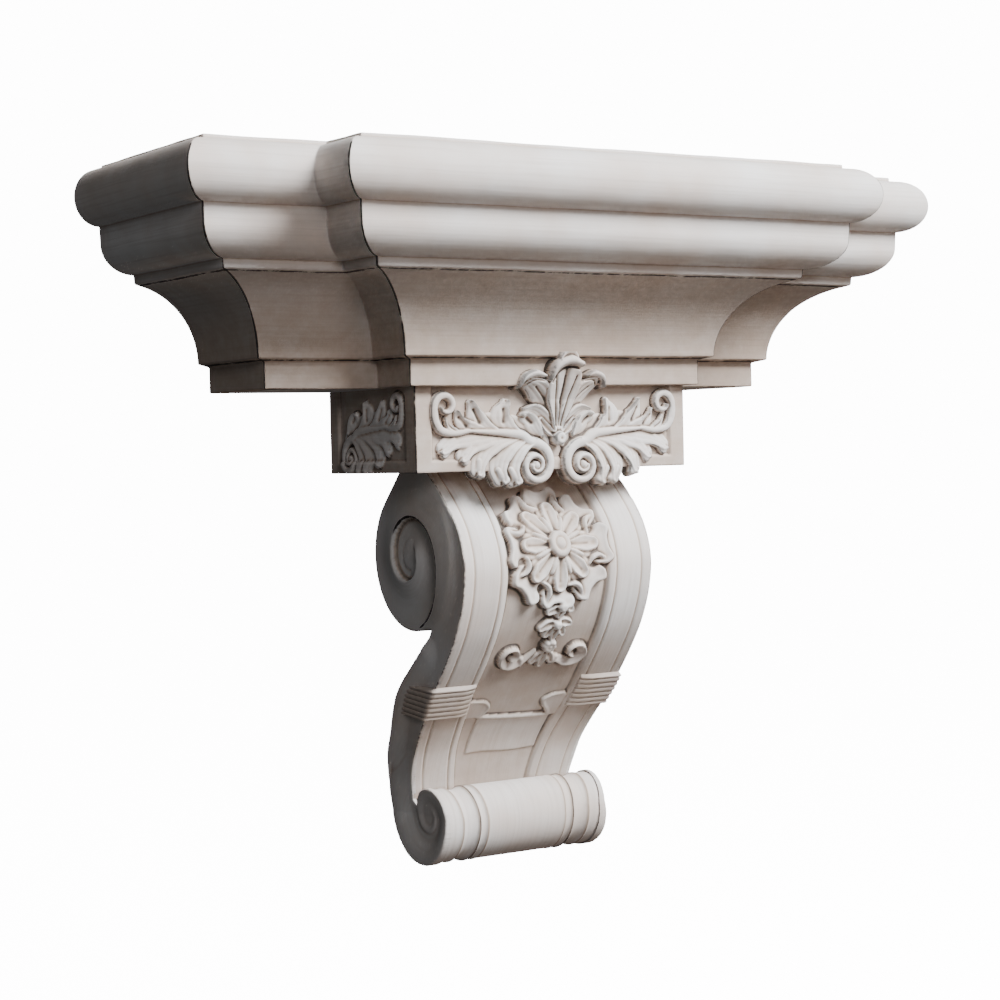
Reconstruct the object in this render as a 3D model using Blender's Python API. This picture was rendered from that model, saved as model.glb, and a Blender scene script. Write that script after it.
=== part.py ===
"""Wall bracket: a moulded breakfront shelf on a carved frieze block and an S-scroll console, cast in one piece.

Metres, +Z up, front towards -Y, the wall is the plane y = 0. The origin is on the wall and on the
centre line, at the joint between the shelf's fascia and the frieze block.
"""

import math

import bmesh
import bpy
import numpy as np

# Shelf: plan at the fascia, then the moulding profile from the fascia upwards
WING_HALF_WIDTH = 0.2095
WING_DEPTH = 0.0845
BREAK_HALF_WIDTH = 0.1227
BREAK_PROJECTION = 0.0442
FASCIA_HEIGHT = 0.0180
FASCIA_STEP = 0.0085
CAVETTO_FOOT_RISE = 0.0022
CAVETTO_RUN = 0.0403
CAVETTO_RISE = 0.0531
SOFFIT_RUN = 0.0056
SOFFIT_RISE = 0.0017
LOWER_FILLET_HEIGHT = 0.0060
OVOLO_RUN = 0.0236
OVOLO_RISE = 0.0205
UPPER_FILLET_HEIGHT = 0.0118
BULLNOSE_PROUD = 0.0174
BULLNOSE_HEIGHT = 0.0388
PLATE_SETBACK = 0.0030
PLATE_HEIGHT = 0.0032
PROFILE_TAPER = 0.0005

# Frieze block under the shelf, with a sunk panel on its front and on each side
FRIEZE_HALF_WIDTH = 0.1146
FRIEZE_DEPTH = 0.1205
FRIEZE_HEIGHT = 0.0587
PANEL_SIDE_MARGIN = 0.0130
PANEL_TOP_MARGIN = 0.0070
PANEL_FOOT_MARGIN = 0.0078
PANEL_SINK = 0.0022
PANEL_BEVEL = 0.0024

# Console: side outline, width and the sinking between its raised borders
CONSOLE_HEIGHT = 0.2838
CONSOLE_DEPTH = 0.1232
CONSOLE_HALF_WIDTH = 0.0800
CONSOLE_FOOT_HALF_WIDTH = 0.0670
WAIST_DROP = 0.1620
VOLUTE_RADIUS = 0.0535
VOLUTE_DROP = 0.0600
FRONT_PANEL_SINK = 0.0050
BORDER_WIDTH = 0.0370
BORDER_BEAD_WIDTH = 0.0066
BORDER_FILLET_WIDTH = 0.0088
BORDER_GROOVE = 0.0020
SCROLL_RADIUS = 0.0467
SCROLL_SHRINK = 1.105
ROLL_COLLAR_WIDTH = 0.0165
ROLL_RIM_WIDTH = 0.0070
ROLL_BEAD_WIDTH = 0.0078
ROLL_PROUD = 0.0026
SIDE_RIM_HEIGHT = 0.0040
SIDE_RIM_WIDTH = 0.0180

# Reeded straps round the borders at the waist
STRAP_WIDTH = 0.0325
STRAP_DROP = 0.1975
STRAP_PROUD = 0.0038
STRAP_BACK_START = 0.320
STRAP_BACK_SPAN = 0.235
STRAP_REEDS = 5
STRAP_REED_DEPTH = 0.0014

# Carving
SPRAY_REACH = 0.1058
SPRAY_RELIEF = 0.0080
SIDE_SPRAY_REACH = 0.0850
SPRAY_RISE = 1.8 * FRIEZE_HEIGHT
SIDE_SPRAY_RISE = 1.45 * FRIEZE_HEIGHT
ROSETTE_RADIUS = 0.0450
ROSETTE_DROP = 0.0705
ROSETTE_RELIEF = 0.0110
PETALS = 8
RIBBON_DROP = 0.2225
RIBBON_HALF_WIDTH = 0.0340
RIBBON_LENGTH = 0.0320

# How far shapes that are cast together run into each other
OVERLAP = 0.0040

PAINT = (0.62, 0.58, 0.55, 1.0)


def clear_scene():
    for obj in list(bpy.data.objects):
        bpy.data.objects.remove(obj, do_unlink=True)


def painted_plaster():
    material = bpy.data.materials.new("aged_white_paint")
    material.use_nodes = True
    shader = material.node_tree.nodes["Principled BSDF"]
    shader.inputs["Base Color"].default_value = PAINT
    shader.inputs["Roughness"].default_value = 0.62
    shader.inputs["Metallic"].default_value = 0.0
    return material


def smooth(points, count):
    """count + 1 points, evenly spaced along a smooth curve through the given ones."""
    points = np.array(points, float)
    knots = np.concatenate([[0.0], np.cumsum(np.linalg.norm(np.diff(points, axis=0), axis=1))])
    slopes = np.gradient(points, knots, axis=0)
    dense = []
    for k in range(len(points) - 1):
        length = knots[k + 1] - knots[k]
        for t in np.linspace(0.0, 1.0, 24, endpoint=k == len(points) - 2):
            dense.append(
                (2 * t**3 - 3 * t**2 + 1) * points[k]
                + (t**3 - 2 * t**2 + t) * length * slopes[k]
                + (3 * t**2 - 2 * t**3) * points[k + 1]
                + (t**3 - t**2) * length * slopes[k + 1]
            )
    dense = np.array(dense)
    run = np.concatenate([[0.0], np.cumsum(np.linalg.norm(np.diff(dense, axis=0), axis=1))])
    even = np.linspace(0.0, run[-1], count + 1)
    return np.stack([np.interp(even, run, dense[:, k]) for k in range(dense.shape[1])], axis=1)


def along(values, t):
    """The value at share t of the way along a list of evenly spaced values."""
    return float(np.interp(t, np.linspace(0.0, 1.0, len(values)), values))


def tangents(path):
    steps = np.gradient(path, axis=0)
    return steps / np.linalg.norm(steps, axis=1, keepdims=True)


def loft(rings):
    """Vertices and faces of a closed body through rings of equally many points, capped at both ends."""
    size = len(rings[0])
    verts = [tuple(point) for ring in rings for point in ring]
    faces = [tuple(range(size))[::-1], tuple(range((len(rings) - 1) * size, len(rings) * size))]
    for k in range(len(rings) - 1):
        for j in range(size):
            after = (j + 1) % size
            faces.append((k * size + j, k * size + after, (k + 1) * size + after, (k + 1) * size + j))
    return verts, faces


def mesh_object(name, shapes, material):
    """One mesh object from (vertices, faces) shapes, each closed and facing out."""
    bm = bmesh.new()
    for verts, faces in shapes:
        made = [bm.verts.new(v) for v in verts]
        for face in faces:
            bm.faces.new([made[k] for k in face])
    bmesh.ops.recalc_face_normals(bm, faces=bm.faces)
    mesh = bpy.data.meshes.new(name)
    bm.to_mesh(mesh)
    bm.free()
    mesh.materials.append(material)
    mesh.shade_smooth()
    mesh.set_sharp_from_angle(angle=math.radians(32))
    obj = bpy.data.objects.new(name, mesh)
    bpy.context.scene.collection.objects.link(obj)
    return obj


# Shelf


def arc(centre, radii, start, end, count):
    """Points on an ellipse's arc, from one angle to another in degrees."""
    angles = np.radians(np.linspace(start, end, count + 1))
    return [(centre[0] + radii[0] * math.cos(a), centre[1] + radii[1] * math.sin(a)) for a in angles]


def shelf_profile():
    """The moulding as (offset from the fascia, height) from the shelf's foot to its top."""
    foot = (FASCIA_STEP, FASCIA_HEIGHT + CAVETTO_FOOT_RISE)
    radius = (CAVETTO_RUN**2 + CAVETTO_RISE**2) / (2 * CAVETTO_RUN)
    sweep = math.degrees(math.asin(CAVETTO_RISE / radius))
    if CAVETTO_RUN > radius:
        sweep = 180 - sweep
    cavetto = arc((foot[0] + radius, foot[1]), (radius, radius), 180, 180 - sweep, 8)
    soffit = (cavetto[-1][0] + SOFFIT_RUN, cavetto[-1][1] + SOFFIT_RISE)
    fillet = (soffit[0] + PROFILE_TAPER, soffit[1] + LOWER_FILLET_HEIGHT)
    ovolo = arc((fillet[0], fillet[1] + OVOLO_RISE), (OVOLO_RUN, OVOLO_RISE), -90, 0, 6)
    band = (ovolo[-1][0] + PROFILE_TAPER, ovolo[-1][1] + UPPER_FILLET_HEIGHT)
    middle = (band[0], band[1] + BULLNOSE_HEIGHT / 2)
    bullnose = arc(middle, (BULLNOSE_PROUD, BULLNOSE_HEIGHT / 2), -90, 90, 10)
    plate = (band[0] - PLATE_SETBACK, band[1] + BULLNOSE_HEIGHT)
    return (
        [(0.0, 0.0), (0.0, FASCIA_HEIGHT)]
        + cavetto
        + [soffit, fillet]
        + ovolo[1:]
        + bullnose
        + [plate, (plate[0], plate[1] + PLATE_HEIGHT)]
    )


def shelf_plan(offset):
    """The shelf's outline at one height: wings to each side and a centre that breaks forward."""
    wing = WING_HALF_WIDTH + offset
    centre = BREAK_HALF_WIDTH + offset
    wing_front = -(WING_DEPTH + offset)
    centre_front = wing_front - BREAK_PROJECTION
    half = [(wing, 0.0), (wing, wing_front), (centre, wing_front), (centre, centre_front)]
    return half + [(-x, y) for x, y in reversed(half)]


def shelf():
    return loft([[(x, y, z) for x, y in shelf_plan(offset)] for offset, z in shelf_profile()])


# Frieze block


def panelled_face(place, width, height, side, head, foot):
    """A face with a bevelled sunk panel. place turns (across, up, in) into a point."""
    outer = [(0, 0), (width, 0), (width, height), (0, height)]
    edge = [(side, foot), (width - side, foot), (width - side, height - head), (side, height - head)]
    inward = [(1, 1), (-1, 1), (-1, -1), (1, -1)]
    verts = [place(u, v, 0.0) for u, v in outer] + [place(u, v, 0.0) for u, v in edge]
    verts += [
        place(u + a * PANEL_BEVEL, v + b * PANEL_BEVEL, PANEL_SINK) for (u, v), (a, b) in zip(edge, inward)
    ]
    faces = [(8, 9, 10, 11)]
    for k in range(4):
        after = (k + 1) % 4
        faces.append((k, after, 4 + after, 4 + k))
        faces.append((4 + k, 4 + after, 8 + after, 8 + k))
    return verts, faces


def frieze():
    x, y = FRIEZE_HALF_WIDTH, FRIEZE_DEPTH
    low, high = -FRIEZE_HEIGHT, OVERLAP
    tall = high - low
    head = PANEL_TOP_MARGIN + OVERLAP
    margins = (PANEL_SIDE_MARGIN, head, PANEL_FOOT_MARGIN)
    sides = [
        panelled_face(lambda u, v, d: (u - x, d - y, low + v), 2 * x, tall, *margins),
        panelled_face(lambda u, v, d: (x - d, u - y, low + v), y, tall, *margins),
        panelled_face(lambda u, v, d: (d - x, u - y, low + v), y, tall, *margins),
    ]
    verts = []
    faces = []
    for part_verts, part_faces in sides:
        faces += [tuple(k + len(verts) for k in face) for face in part_faces]
        verts += part_verts
    corners = [(-x, -y), (x, -y), (x, 0.0), (-x, 0.0)]
    base = len(verts)
    verts += [(u, v, low) for u, v in corners] + [(u, v, high) for u, v in corners]
    faces += [tuple(base + k for k in face) for face in ((0, 1, 2, 3), (4, 5, 6, 7), (2, 3, 7, 6))]
    return welded(verts, faces)


def welded(verts, faces):
    """The same faces with equal points made one."""
    keys = {}
    index = [keys.setdefault(tuple(round(c, 7) for c in v), len(keys)) for v in verts]
    return list(keys), [tuple(index[k] for k in face) for face in faces]


# Console outline, in the plane of its side: points are (y, z)

FRONT_SHARES = [
    (0.617, 0.000), (0.788, 0.066), (0.940, 0.147), (1.000, 0.230), (0.980, 0.304), (0.899, 0.392),
    (0.775, 0.472), (0.638, 0.545), (0.512, 0.612), (0.407, 0.664), (0.306, 0.723), (0.230, 0.798),
    (0.205, 0.840),
]  # fmt: skip
BACK_SHARES = [
    (0.543, 0.446), (0.408, 0.497), (0.307, 0.536), (0.200, 0.599), (0.110, 0.672), (0.040, 0.725),
    (0.006, 0.790),
]  # fmt: skip
NOTCH_SHARE = (0.631, 0.391)
FRONT_COUNT = 18
BACK_COUNT = 9


def console_point(share):
    return -share[0] * CONSOLE_DEPTH, -FRIEZE_HEIGHT - share[1] * CONSOLE_HEIGHT


def front_curve(count):
    return smooth([console_point(share) for share in FRONT_SHARES], count)


def back_curve(count):
    return smooth([console_point(share) for share in BACK_SHARES], count)


def volute_centre():
    return np.array([-VOLUTE_RADIUS, -FRIEZE_HEIGHT - VOLUTE_DROP])


def scroll_drop():
    """How far the lower scroll's middle is below the frieze block: its lowest point is the console's foot."""
    return CONSOLE_HEIGHT - SCROLL_RADIUS * math.exp(-SCROLL_SHRINK / 4)


def scroll_centre():
    return np.array([-SCROLL_RADIUS, -FRIEZE_HEIGHT - scroll_drop()])


def scroll_curve(first, last, count, shrink=0.0):
    """The lower scroll's spiral, from the wall side down, forward, up and in, between two angles in degrees."""
    points = []
    for angle in np.linspace(first, last, count + 1):
        radius = SCROLL_RADIUS * math.exp(-SCROLL_SHRINK * angle / 360) - shrink
        turn = math.radians(-angle)
        points.append(scroll_centre() + radius * np.array([math.cos(turn), math.sin(turn)]))
    return np.array(points)


def volute_outline(count):
    """The back of the upper volute, from the notch below it round to the frieze block."""
    centre = volute_centre()
    angles = np.radians(np.linspace(-107, 45, count + 1))
    ring = [centre + VOLUTE_RADIUS * np.array([math.cos(a), math.sin(a)]) for a in angles]
    rise = -FRIEZE_HEIGHT + OVERLAP - ring[-1][1]
    return np.array(ring + [ring[-1] + np.array([-rise, rise])])


def half_width(z):
    """The console's half width: full down to the waist, then tapering to the foot."""
    below = (-FRIEZE_HEIGHT - WAIST_DROP - z) / (scroll_drop() - WAIST_DROP)
    share = min(max(below, 0.0), 1.0)
    return CONSOLE_HALF_WIDTH + (CONSOLE_FOOT_HALF_WIDTH - CONSOLE_HALF_WIDTH) * share


def across_stations():
    """(front distance in from the side, front depth, roll distance in from the end, roll height) per station."""
    bead = BORDER_WIDTH - BORDER_BEAD_WIDTH
    groove = BORDER_GROOVE
    collar = ROLL_RIM_WIDTH + ROLL_COLLAR_WIDTH
    bead_end = collar + ROLL_BEAD_WIDTH
    high = ROLL_PROUD
    low = ROLL_PROUD / 3
    return [
        (0.0, 0.0, 0.0, high * 0.8),
        (BORDER_FILLET_WIDTH - groove, 0.0, ROLL_RIM_WIDTH - groove, high * 0.8),
        (BORDER_FILLET_WIDTH, groove * 0.7, ROLL_RIM_WIDTH, low),
        (BORDER_FILLET_WIDTH + groove, 0.0, ROLL_RIM_WIDTH + groove, high),
        (bead - groove, 0.0, collar - groove, high),
        (bead, groove, collar, low),
        (bead + groove, 0.0, collar + groove, high * 0.7),
        (BORDER_WIDTH - groove / 2, 0.0, bead_end - groove / 2, high * 0.7),
        (BORDER_WIDTH + groove / 2, FRONT_PANEL_SINK, bead_end + groove / 2, 0.0),
    ]


def offset_curve(path, distance):
    """The path moved sideways, to the right of its direction for a positive distance."""
    way = tangents(path)
    return path + distance * np.stack([way[:, 1], -way[:, 0]], axis=1)


def console():
    front = front_curve(FRONT_COUNT)
    roll = scroll_curve(338, 24, 13)
    back = back_curve(BACK_COUNT)[::-1]
    rear = volute_outline(10)
    notch = np.array(console_point(NOTCH_SHARE))
    head = np.array([front[0][0] + OVERLAP, front[0][1] + OVERLAP])
    stations = across_stations()
    rings = []
    for side in (-1, 1):
        rows = stations if side < 0 else stations[::-1]
        for front_in, depth, roll_in, proud in rows:
            outline = [(half_width(y_z[1]) - front_in, y_z) for y_z in offset_curve(front, -depth)]
            ends = [(CONSOLE_FOOT_HALF_WIDTH - roll_in, y_z) for y_z in offset_curve(roll, -proud)]
            rest = [*back, notch, *rear]
            behind = [(half_width(y_z[1]) - front_in, y_z) for y_z in rest]
            ring = [(half_width(head[1]) - front_in, head)] + outline + ends + behind
            rings.append([(side * x, min(y, 0.0), z) for x, (y, z) in ring])
    return loft(rings)


# Carving: forms swept over a surface. place(u, v, h) gives the point at height h over the surface


CONVEX = [(-1.0, 0.0), (-0.62, 0.78), (0.0, 1.0), (0.62, 0.78), (1.0, 0.0)]
RIDGED = [(-1.0, 0.0), (-0.45, 0.95), (0.45, 0.95), (1.0, 0.0)]
VEINED = [(-1.0, 0.0), (-0.72, 0.95), (0.0, 0.62), (0.72, 0.95), (1.0, 0.0)]


def blade(place, spine, half_widths, crests, unders, count, section=CONVEX):
    """A leaf or a stem along a spine, with its half width, top and underside given along the way."""
    path = smooth(spine, count)
    way = tangents(path)
    rings = []
    for k, (point, (du, dv)) in enumerate(zip(path, way)):
        t = k / count
        wide, top, low = along(half_widths, t), along(crests, t), along(unders, t)
        rings.append(
            [place(point[0] - dv * wide * a, point[1] + du * wide * a, low + (top - low) * b) for a, b in section]
        )
    return loft(rings)


def spiral(centre, radius, turns, start, shrink, way, count):
    """Points of a log spiral that winds in from a start angle in degrees. way is 1 for anticlockwise."""
    points = []
    for t in np.linspace(0.0, turns, count + 1):
        angle = math.radians(start) + way * t * math.tau
        reach = radius * math.exp(-shrink * t)
        points.append((centre[0] + reach * math.cos(angle), centre[1] + reach * math.sin(angle)))
    return points


def flower(place, centre, radius, petals, notch, heights, under, per_petal=6, turn=0.0):
    """A disc of petals: heights are given from the middle to the rim, and each notch cuts into the rim."""
    rim_shares = np.linspace(0.0, 1.0, len(heights))
    rows = []
    for share, height in list(zip(rim_shares[1:], heights[1:])) + [(1.0, under)]:
        row = []
        for k in range(petals * per_petal):
            angle = math.tau * k / (petals * per_petal) + turn
            dip = 0.5 - 0.5 * math.cos(petals * (angle - turn))
            reach = radius * share * (1 - notch * share * dip**2)
            lift = height if height == under else height * (1 - 0.45 * share * dip)
            row.append(place(centre[0] + reach * math.cos(angle), centre[1] + reach * math.sin(angle), lift))
        rows.append(row)
    verts = [place(centre[0], centre[1], heights[0])] + [v for row in rows for v in row]
    size = petals * per_petal
    faces = [(0, 1 + k, 1 + (k + 1) % size) for k in range(size)]
    for r in range(len(rows) - 1):
        for k in range(size):
            a, b = 1 + r * size + k, 1 + r * size + (k + 1) % size
            faces.append((a, a + size, b + size, b))
    last = 1 + (len(rows) - 1) * size
    faces.append(tuple(range(last, last + size))[::-1])
    return verts, faces


# Acanthus spray of the frieze, in shares of its reach: (0, 0) is its root on the centre line

SPRAY_STEM = [(0.02, -0.13), (0.09, -0.01), (0.21, 0.01), (0.42, 0.05), (0.66, 0.08), (0.84, 0.12), (0.95, 0.20)]
SPRAY_CURL = [
    (0.95, 0.20), (0.975, 0.27), (0.93, 0.34), (0.85, 0.345), (0.80, 0.27), (0.82, 0.20), (0.88, 0.20),
    (0.89, 0.25),
]  # fmt: skip
SPRAY_VOLUTE_CENTRE = (0.205, -0.175)
SPRAY_UPPER_LEAVES = [
    [(0.13, 0.01), (0.19, 0.09), (0.25, 0.16)],
    [(0.24, 0.03), (0.34, 0.12), (0.39, 0.24)],
    [(0.38, 0.06), (0.49, 0.13), (0.54, 0.22)],
    [(0.48, 0.08), (0.62, 0.15), (0.67, 0.26)],
]
SPRAY_LOWER_LEAVES = [
    [(0.19, 0.00), (0.30, -0.05), (0.36, -0.15), (0.385, -0.26)],
    [(0.24, 0.01), (0.37, -0.04), (0.44, -0.13), (0.475, -0.24)],
    [(0.30, 0.03), (0.44, -0.02), (0.53, -0.11), (0.575, -0.215)],
    [(0.38, 0.05), (0.54, 0.01), (0.65, -0.07), (0.71, -0.16)],
    [(0.48, 0.06), (0.64, 0.04), (0.79, 0.00), (0.885, -0.035)],
]


def spray(place, relief):
    """Half of an acanthus spray: a stem from a volute to an end curl, with leaves above and below it."""
    under = [-0.35 * relief / SPRAY_REACH]
    h = relief / SPRAY_REACH
    volute = spiral(SPRAY_VOLUTE_CENTRE, 0.115, 1.3, 20, 1.15, -1, 16)
    shapes = [
        blade(place, volute, [0.032, 0.028, 0.014], [1.15 * h, 1.2 * h, 1.5 * h], under, 12, RIDGED),
        blade(place, SPRAY_STEM, [0.028, 0.036, 0.030, 0.026], [1.15 * h, 1.1 * h, 0.7 * h], under, 6, RIDGED),
        blade(place, SPRAY_CURL, [0.030, 0.030, 0.026], [0.7 * h, 0.8 * h, 0.9 * h], under, 7, RIDGED),
        flower(place, SPRAY_VOLUTE_CENTRE, 0.085, 1, 0.0, [0.8 * h, 0.7 * h], under[0], 8),
    ]
    for leaf in SPRAY_UPPER_LEAVES:
        heights = [0.8 * h, 0.9 * h, 0.85 * h]
        shapes.append(blade(place, leaf, [0.030, 0.055, 0.046, 0.012], heights, under, 3, RIDGED))
    for leaf in SPRAY_LOWER_LEAVES:
        heights = [1.0 * h, 1.05 * h, 0.8 * h]
        shapes.append(blade(place, leaf, [0.020, 0.048, 0.058, 0.020], heights, under, 3, RIDGED))
    return shapes


PALMETTE_LEAVES = [
    ([(0.0, 0.04), (0.0, 0.22), (0.0, 0.40), (0.0, 0.56)], [0.030, 0.070, 0.150, 0.110, 0.020], 1.0),
    ([(0.02, 0.14), (0.10, 0.25), (0.20, 0.31), (0.31, 0.37)], [0.040, 0.095, 0.075, 0.018], 0.55),
    ([(-0.02, 0.14), (-0.10, 0.25), (-0.20, 0.31), (-0.31, 0.37)], [0.040, 0.095, 0.075, 0.018], 0.55),
]


def palmette(place, relief):
    """The three-lobed leaf over the middle, which leans forward past the fascia."""
    h = relief / SPRAY_REACH
    shapes = []
    for spine, widths, lean in PALMETTE_LEAVES:
        crests = [1.1 * h, 1.5 * h, (1.7 + 0.8 * lean) * h, (2.0 + 1.3 * lean) * h]
        unders = [-0.3 * h, -0.3 * h, 0.6 * h, (0.9 + 1.0 * lean) * h]
        shapes.append(blade(place, spine, widths, crests, unders, 6, VEINED))
    shapes.append(flower(place, (0.0, 0.03), 0.065, 1, 0.0, [1.9 * h, 1.4 * h], -0.3 * h, 8))
    return shapes


def frieze_carving():
    face = FRIEZE_DEPTH - PANEL_SINK
    root = -0.655 * FRIEZE_HEIGHT
    shapes = []
    for side in (-1, 1):
        shapes += spray(
            lambda u, v, h, side=side: (side * u * SPRAY_REACH, -face - h * SPRAY_REACH, root + v * SPRAY_RISE),
            SPRAY_RELIEF,
        )
    return shapes + palmette(
        lambda u, v, h: (u * SPRAY_REACH, -face - h * SPRAY_REACH, root + v * SPRAY_RISE), SPRAY_RELIEF
    )


def side_carving():
    """A smaller spray on each side panel, its end curl towards the front."""
    face = FRIEZE_HALF_WIDTH - PANEL_SINK
    start = -(PANEL_SIDE_MARGIN + 0.09 * SIDE_SPRAY_REACH)
    root = -0.62 * FRIEZE_HEIGHT
    shapes = []
    for side in (-1, 1):
        shapes += spray(
            lambda u, v, h, side=side: (
                side * (face + h * SIDE_SPRAY_REACH),
                start - u * SIDE_SPRAY_REACH,
                root + v * SIDE_SPRAY_RISE,
            ),
            0.5 * SPRAY_RELIEF,
        )
    return shapes


# Carving on the console's front: (u, v) is measured from the rosette's middle, in shares of its radius

DROP_SCROLL = [
    (0.10, -1.73), (0.24, -1.87), (0.40, -2.09), (0.59, -2.20), (0.75, -2.07), (0.78, -1.87), (0.68, -1.71),
    (0.56, -1.76), (0.55, -1.91), (0.63, -1.94),
]  # fmt: skip
DROP_LEAVES = [
    [(0.0, -1.02), (-0.12, -1.12), (-0.27, -1.24)],
    [(0.0, -1.02), (0.12, -1.12), (0.25, -1.24)],
    [(0.0, -1.22), (-0.14, -1.34), (-0.33, -1.47)],
    [(0.0, -1.22), (0.14, -1.34), (0.31, -1.47)],
    [(0.0, -1.22), (0.03, -1.42), (0.06, -1.62)],
    [(0.0, -1.66), (-0.08, -1.90), (-0.13, -2.14)],
    [(0.0, -1.66), (0.03, -1.92), (0.06, -2.20)],
    [(0.0, -1.66), (0.14, -1.86), (0.24, -2.08)],
]


def on_console():
    """place() for the console's curved front, with v up the curve from the rosette's middle."""
    count = 240
    path = front_curve(count)
    outward = offset_curve(path, 1.0) - path
    length = float(np.linalg.norm(np.diff(path, axis=0), axis=1).sum())

    def place(u, v, h):
        run = (ROSETTE_DROP - v * ROSETTE_RADIUS) / length * count
        k = min(max(run, 0.0), count - 1.0)
        low = int(k)
        point = path[low] + (path[low + 1] - path[low]) * (run - low)
        normal = outward[low] + (outward[low + 1] - outward[low]) * (k - low)
        y, z = point + normal * (h * ROSETTE_RADIUS - FRONT_PANEL_SINK)
        return u * ROSETTE_RADIUS, y, z

    return place


def console_carving():
    place = on_console()
    h = ROSETTE_RELIEF / ROSETTE_RADIUS
    under = -0.25 * h
    shapes = [
        flower(place, (0.0, 0.0), 1.02, PETALS, 0.20, [0.7 * h, 0.6 * h, 0.95 * h], under, 4),
        flower(place, (0.0, 0.0), 0.60, PETALS, 0.42, [1.3 * h, 1.35 * h, 1.15 * h], under, 4),
        flower(place, (0.0, 0.0), 0.17, 1, 0.0, [1.55 * h, 1.85 * h, 1.6 * h], under, 8),
    ]
    for k in range(PETALS):
        angle = math.tau * (k + 0.5) / PETALS
        spot = (0.74 * math.cos(angle), 0.74 * math.sin(angle))
        shapes.append(flower(place, spot, 0.105, 1, 0.0, [1.25 * h, 1.05 * h], under, 5))
    for leaf in DROP_LEAVES:
        shapes.append(blade(place, leaf, [0.05, 0.10, 0.03], [0.6 * h, 0.9 * h, 0.7 * h], [under], 3, RIDGED))
    for side in (-1, 1):
        scroll = [(side * u, v) for u, v in DROP_SCROLL]
        heights = [0.7 * h, 0.8 * h, 1.0 * h]
        shapes.append(blade(place, scroll, [0.05, 0.09, 0.085, 0.05], heights, [under], 10, RIDGED))
    shapes.append(flower(place, (0.04, -1.66), 0.10, 1, 0.0, [1.2 * h, 0.9 * h], under, 8))
    return shapes


def ribbon():
    """The cloth drawn across the panel between the straps: a folded lip, its two curls and the hanging sheet."""
    place = on_console()
    r = ROSETTE_RADIUS
    top = (ROSETTE_DROP - RIBBON_DROP) / r
    wide = RIBBON_HALF_WIDTH / r
    deep = RIBBON_LENGTH / r
    rise = STRAP_PROUD / r
    under = -rise / 2
    lip = [(-wide, top + 0.04), (-0.5 * wide, top), (0.4 * wide, top), (wide, top + 0.05)]
    shapes = [blade(place, lip, [0.07], [1.7 * rise], [under], 6)]
    sheet = [(-0.02 * wide, top - 0.02), (-0.03 * wide, top - deep)]
    shapes.append(blade(place, sheet, [wide, 0.97 * wide], [0.9 * rise, 0.5 * rise], [under], 4, SHEET))
    for side, reach in ((-1, 0.44), (1, 0.46)):
        curl = [
            (side * (wide + 0.16), top + reach + 0.02),
            (side * (wide - 0.04), top + reach),
            (side * (wide - 0.20), top + 0.62 * reach),
            (side * (wide - 0.10), top + 0.32 * reach),
            (side * wide, top + 0.05),
        ]
        shapes.append(blade(place, curl, [0.055], [1.6 * rise], [under], 7))
    return shapes


SHEET = [(-1.0, 0.0), (-0.97, 1.0), (0.97, 1.0), (1.0, 0.0)]


# Sides and straps


def rim_strip(side, path, widths, heights):
    """A raised edge on the console's side: high along the path, and falling away on one side of it."""
    way = tangents(path)
    rings = []
    for k, ((y, z), (dy, dz)) in enumerate(zip(path, way)):
        t = k / (len(path) - 1)
        wide, high = along(widths, t), along(heights, t)
        foot = (y - dz * wide, z + dy * wide)
        x = half_width(z)
        sunk = OVERLAP / 2
        ring = [(x + high, (y, z)), (x - sunk, (y, z)), (x - sunk, foot), (x + 0.0002, foot)]
        rings.append([(side * a, min(b, 0.0), c) for a, (b, c) in ring])
    return loft(rings)


def volute_spiral(count):
    """The step that winds in on the upper volute's side, from the outline below to the eye."""
    centre = volute_centre()
    points = []
    for angle in np.linspace(0.0, 540.0, count + 1):
        radius = 0.965 * VOLUTE_RADIUS * math.exp(-angle / 307)
        turn = math.radians(-90 - angle)
        points.append(centre + np.array([0.001, -0.001]) + radius * np.array([math.cos(turn), math.sin(turn)]))
    return np.array(points)


def side_rims():
    shapes = []
    high, wide = SIDE_RIM_HEIGHT, SIDE_RIM_WIDTH
    band_back = np.concatenate([[console_point(NOTCH_SHARE)], back_curve(8)[:-1]])
    scroll = scroll_curve(6, 580, 20, 0.0004)
    edge = np.concatenate([offset_curve(band_back, 0.0004), scroll])
    upper_widths = [0.4 * wide, wide, 0.5 * wide, 0.2 * wide, 0.12 * wide]
    lower_widths = [-0.7 * wide, -wide, -0.9 * wide, -0.35 * wide, -0.15 * wide]
    for side in (-1, 1):
        shapes.append(rim_strip(side, volute_spiral(18), upper_widths, [0.2 * high, high, high, high]))
        shapes.append(rim_strip(side, edge, lower_widths, [0.5 * high, high, high]))
    return shapes


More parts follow.
